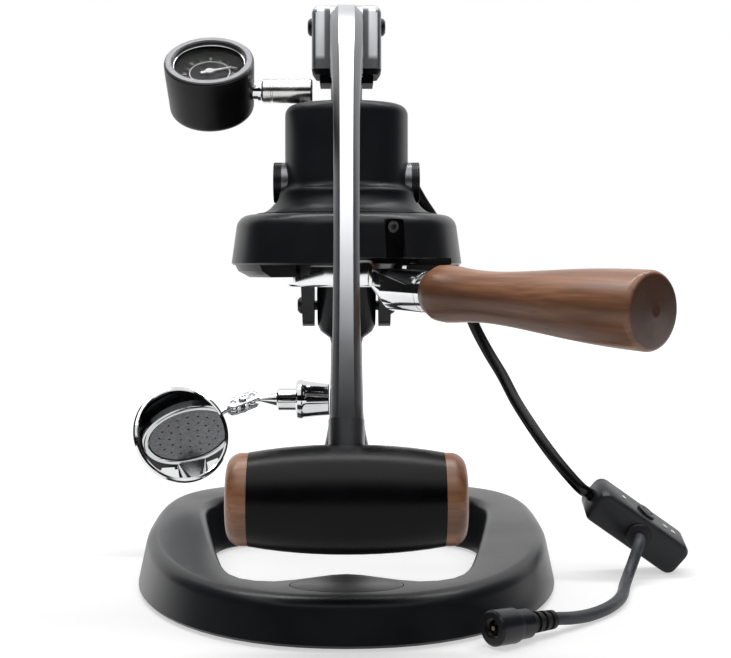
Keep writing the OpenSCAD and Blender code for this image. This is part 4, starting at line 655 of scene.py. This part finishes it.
paint_level, paint_thick = 0.06 * mm, 0.04 * mm
arc_inner, arc_outer = 10.6 * mm, 11.2 * mm
arc_steps = 72
mark_start = 12.2 * mm
long_mark, short_mark = (14.8 * mm, 1.6), (13.6 * mm, 1.1)
needle_rest, mark_step, mark_count = 20, 24, 14
mark_points, mark_faces = [], []
for k in range(arc_steps):
    degrees = 360 * k / arc_steps
    after = (k + 1) % arc_steps
    mark_points += [on_dial(arc_inner, degrees, paint_level), on_dial(arc_outer, degrees, paint_level)]
    mark_faces.append((2 * k, 2 * k + 1, 2 * after + 1, 2 * after))
for k in range(mark_count):
    middle = needle_rest - mark_step * k
    reach, half = long_mark if k % 2 == 0 else short_mark
    start = len(mark_points)
    for radius, degrees in ((mark_start, middle - half), (reach, middle - half), (reach, middle + half),
                            (mark_start, middle + half)):
        mark_points.append(on_dial(radius, degrees, paint_level))
    mark_faces.append((start, start + 1, start + 2, start + 3))
marks = piece("dial_marks", mark_points, mark_faces, white_paint, "gauge")
paint_layer = marks.modifiers.new("paint_layer", "SOLIDIFY")
paint_layer.thickness = paint_thick
# Painted reflection: a thin chrome wire ring at the window's level stands in for the bright ring of light
# reflected in the window.
ring_radius, ring_thick = 19.1 * mm, 0.35 * mm
ring_level = 5.2 * mm
ring_steps, ring_sides = 96, 8
ring_line = [on_dial(ring_radius, 360 * k / ring_steps, ring_level) for k in range(ring_steps)]
ring_points, ring_faces = swept(ring_line, ring_of(ring_thick, ring_sides), gauge_out, closed=True)
piece("window_reflection_ring", ring_points, ring_faces, chrome, "gauge", crease=60)


# Shot mirror: a chromed magnet cup on the post, two plates and a screw that clamp its ball and the
# mirror's, and a round glass mirror in a thin chromed frame.
dress("mirror_magnet", chrome)
dress("knuckle_plates", plain_steel, soften=0.15 * mm)
dress("knuckle_screw", plain_steel)
dress("mirror_frame", chrome)
silver = finish("silver", (0.8, 0.81, 0.81), (0.82, 0.83, 0.83), 0.0, 0.015, cloud=25, grain=800,
                bump=0.0, fixed={"Metallic": 1})
dress("mirror_glass", silver)


# Controller: two moulded black shells that meet near the top, with a round button and three lights on top
# and a rubber grommet on the face for the pigtail. A board is inside.
box_plastic = finish("box_plastic", (0.011, 0.012, 0.015), (0.017, 0.018, 0.022), 0.28, 0.4, cloud=60,
                     grain=2400, bump=0.12, fixed={"Specular IOR Level": 0.3})
dress("controller_bottom", box_plastic)
dress("controller_top", box_plastic)
dress("controller_button", box_plastic, soften=0.2 * mm)
lens_plastic = finish("lens_plastic", (0.6, 0.62, 0.63), (0.7, 0.72, 0.73), 0.15, 0.25, cloud=300,
                      grain=3000)
dress("controller_lights", lens_plastic)
board_green = finish("board_green", (0.01, 0.06, 0.03), (0.015, 0.09, 0.045), 0.4, 0.5, cloud=150,
                     grain=2000)
dress("controller_board", board_green)
dress("pigtail_grommet", black_rubber)


# Socket: a round moulded black barrel with a slimmer rear body and plated contacts inside.
# A ribbed rubber relief is moulded on where the cable goes in.
dress("jack_shell", box_plastic)
contact_plate = finish("contact_plate", (0.6, 0.56, 0.45), (0.7, 0.66, 0.55), 0.2, 0.3, cloud=300,
                       grain=3000, bump=0.05, fixed={"Metallic": 1})
dress("jack_contacts", contact_plate)
dress("jack_relief", black_rubber)
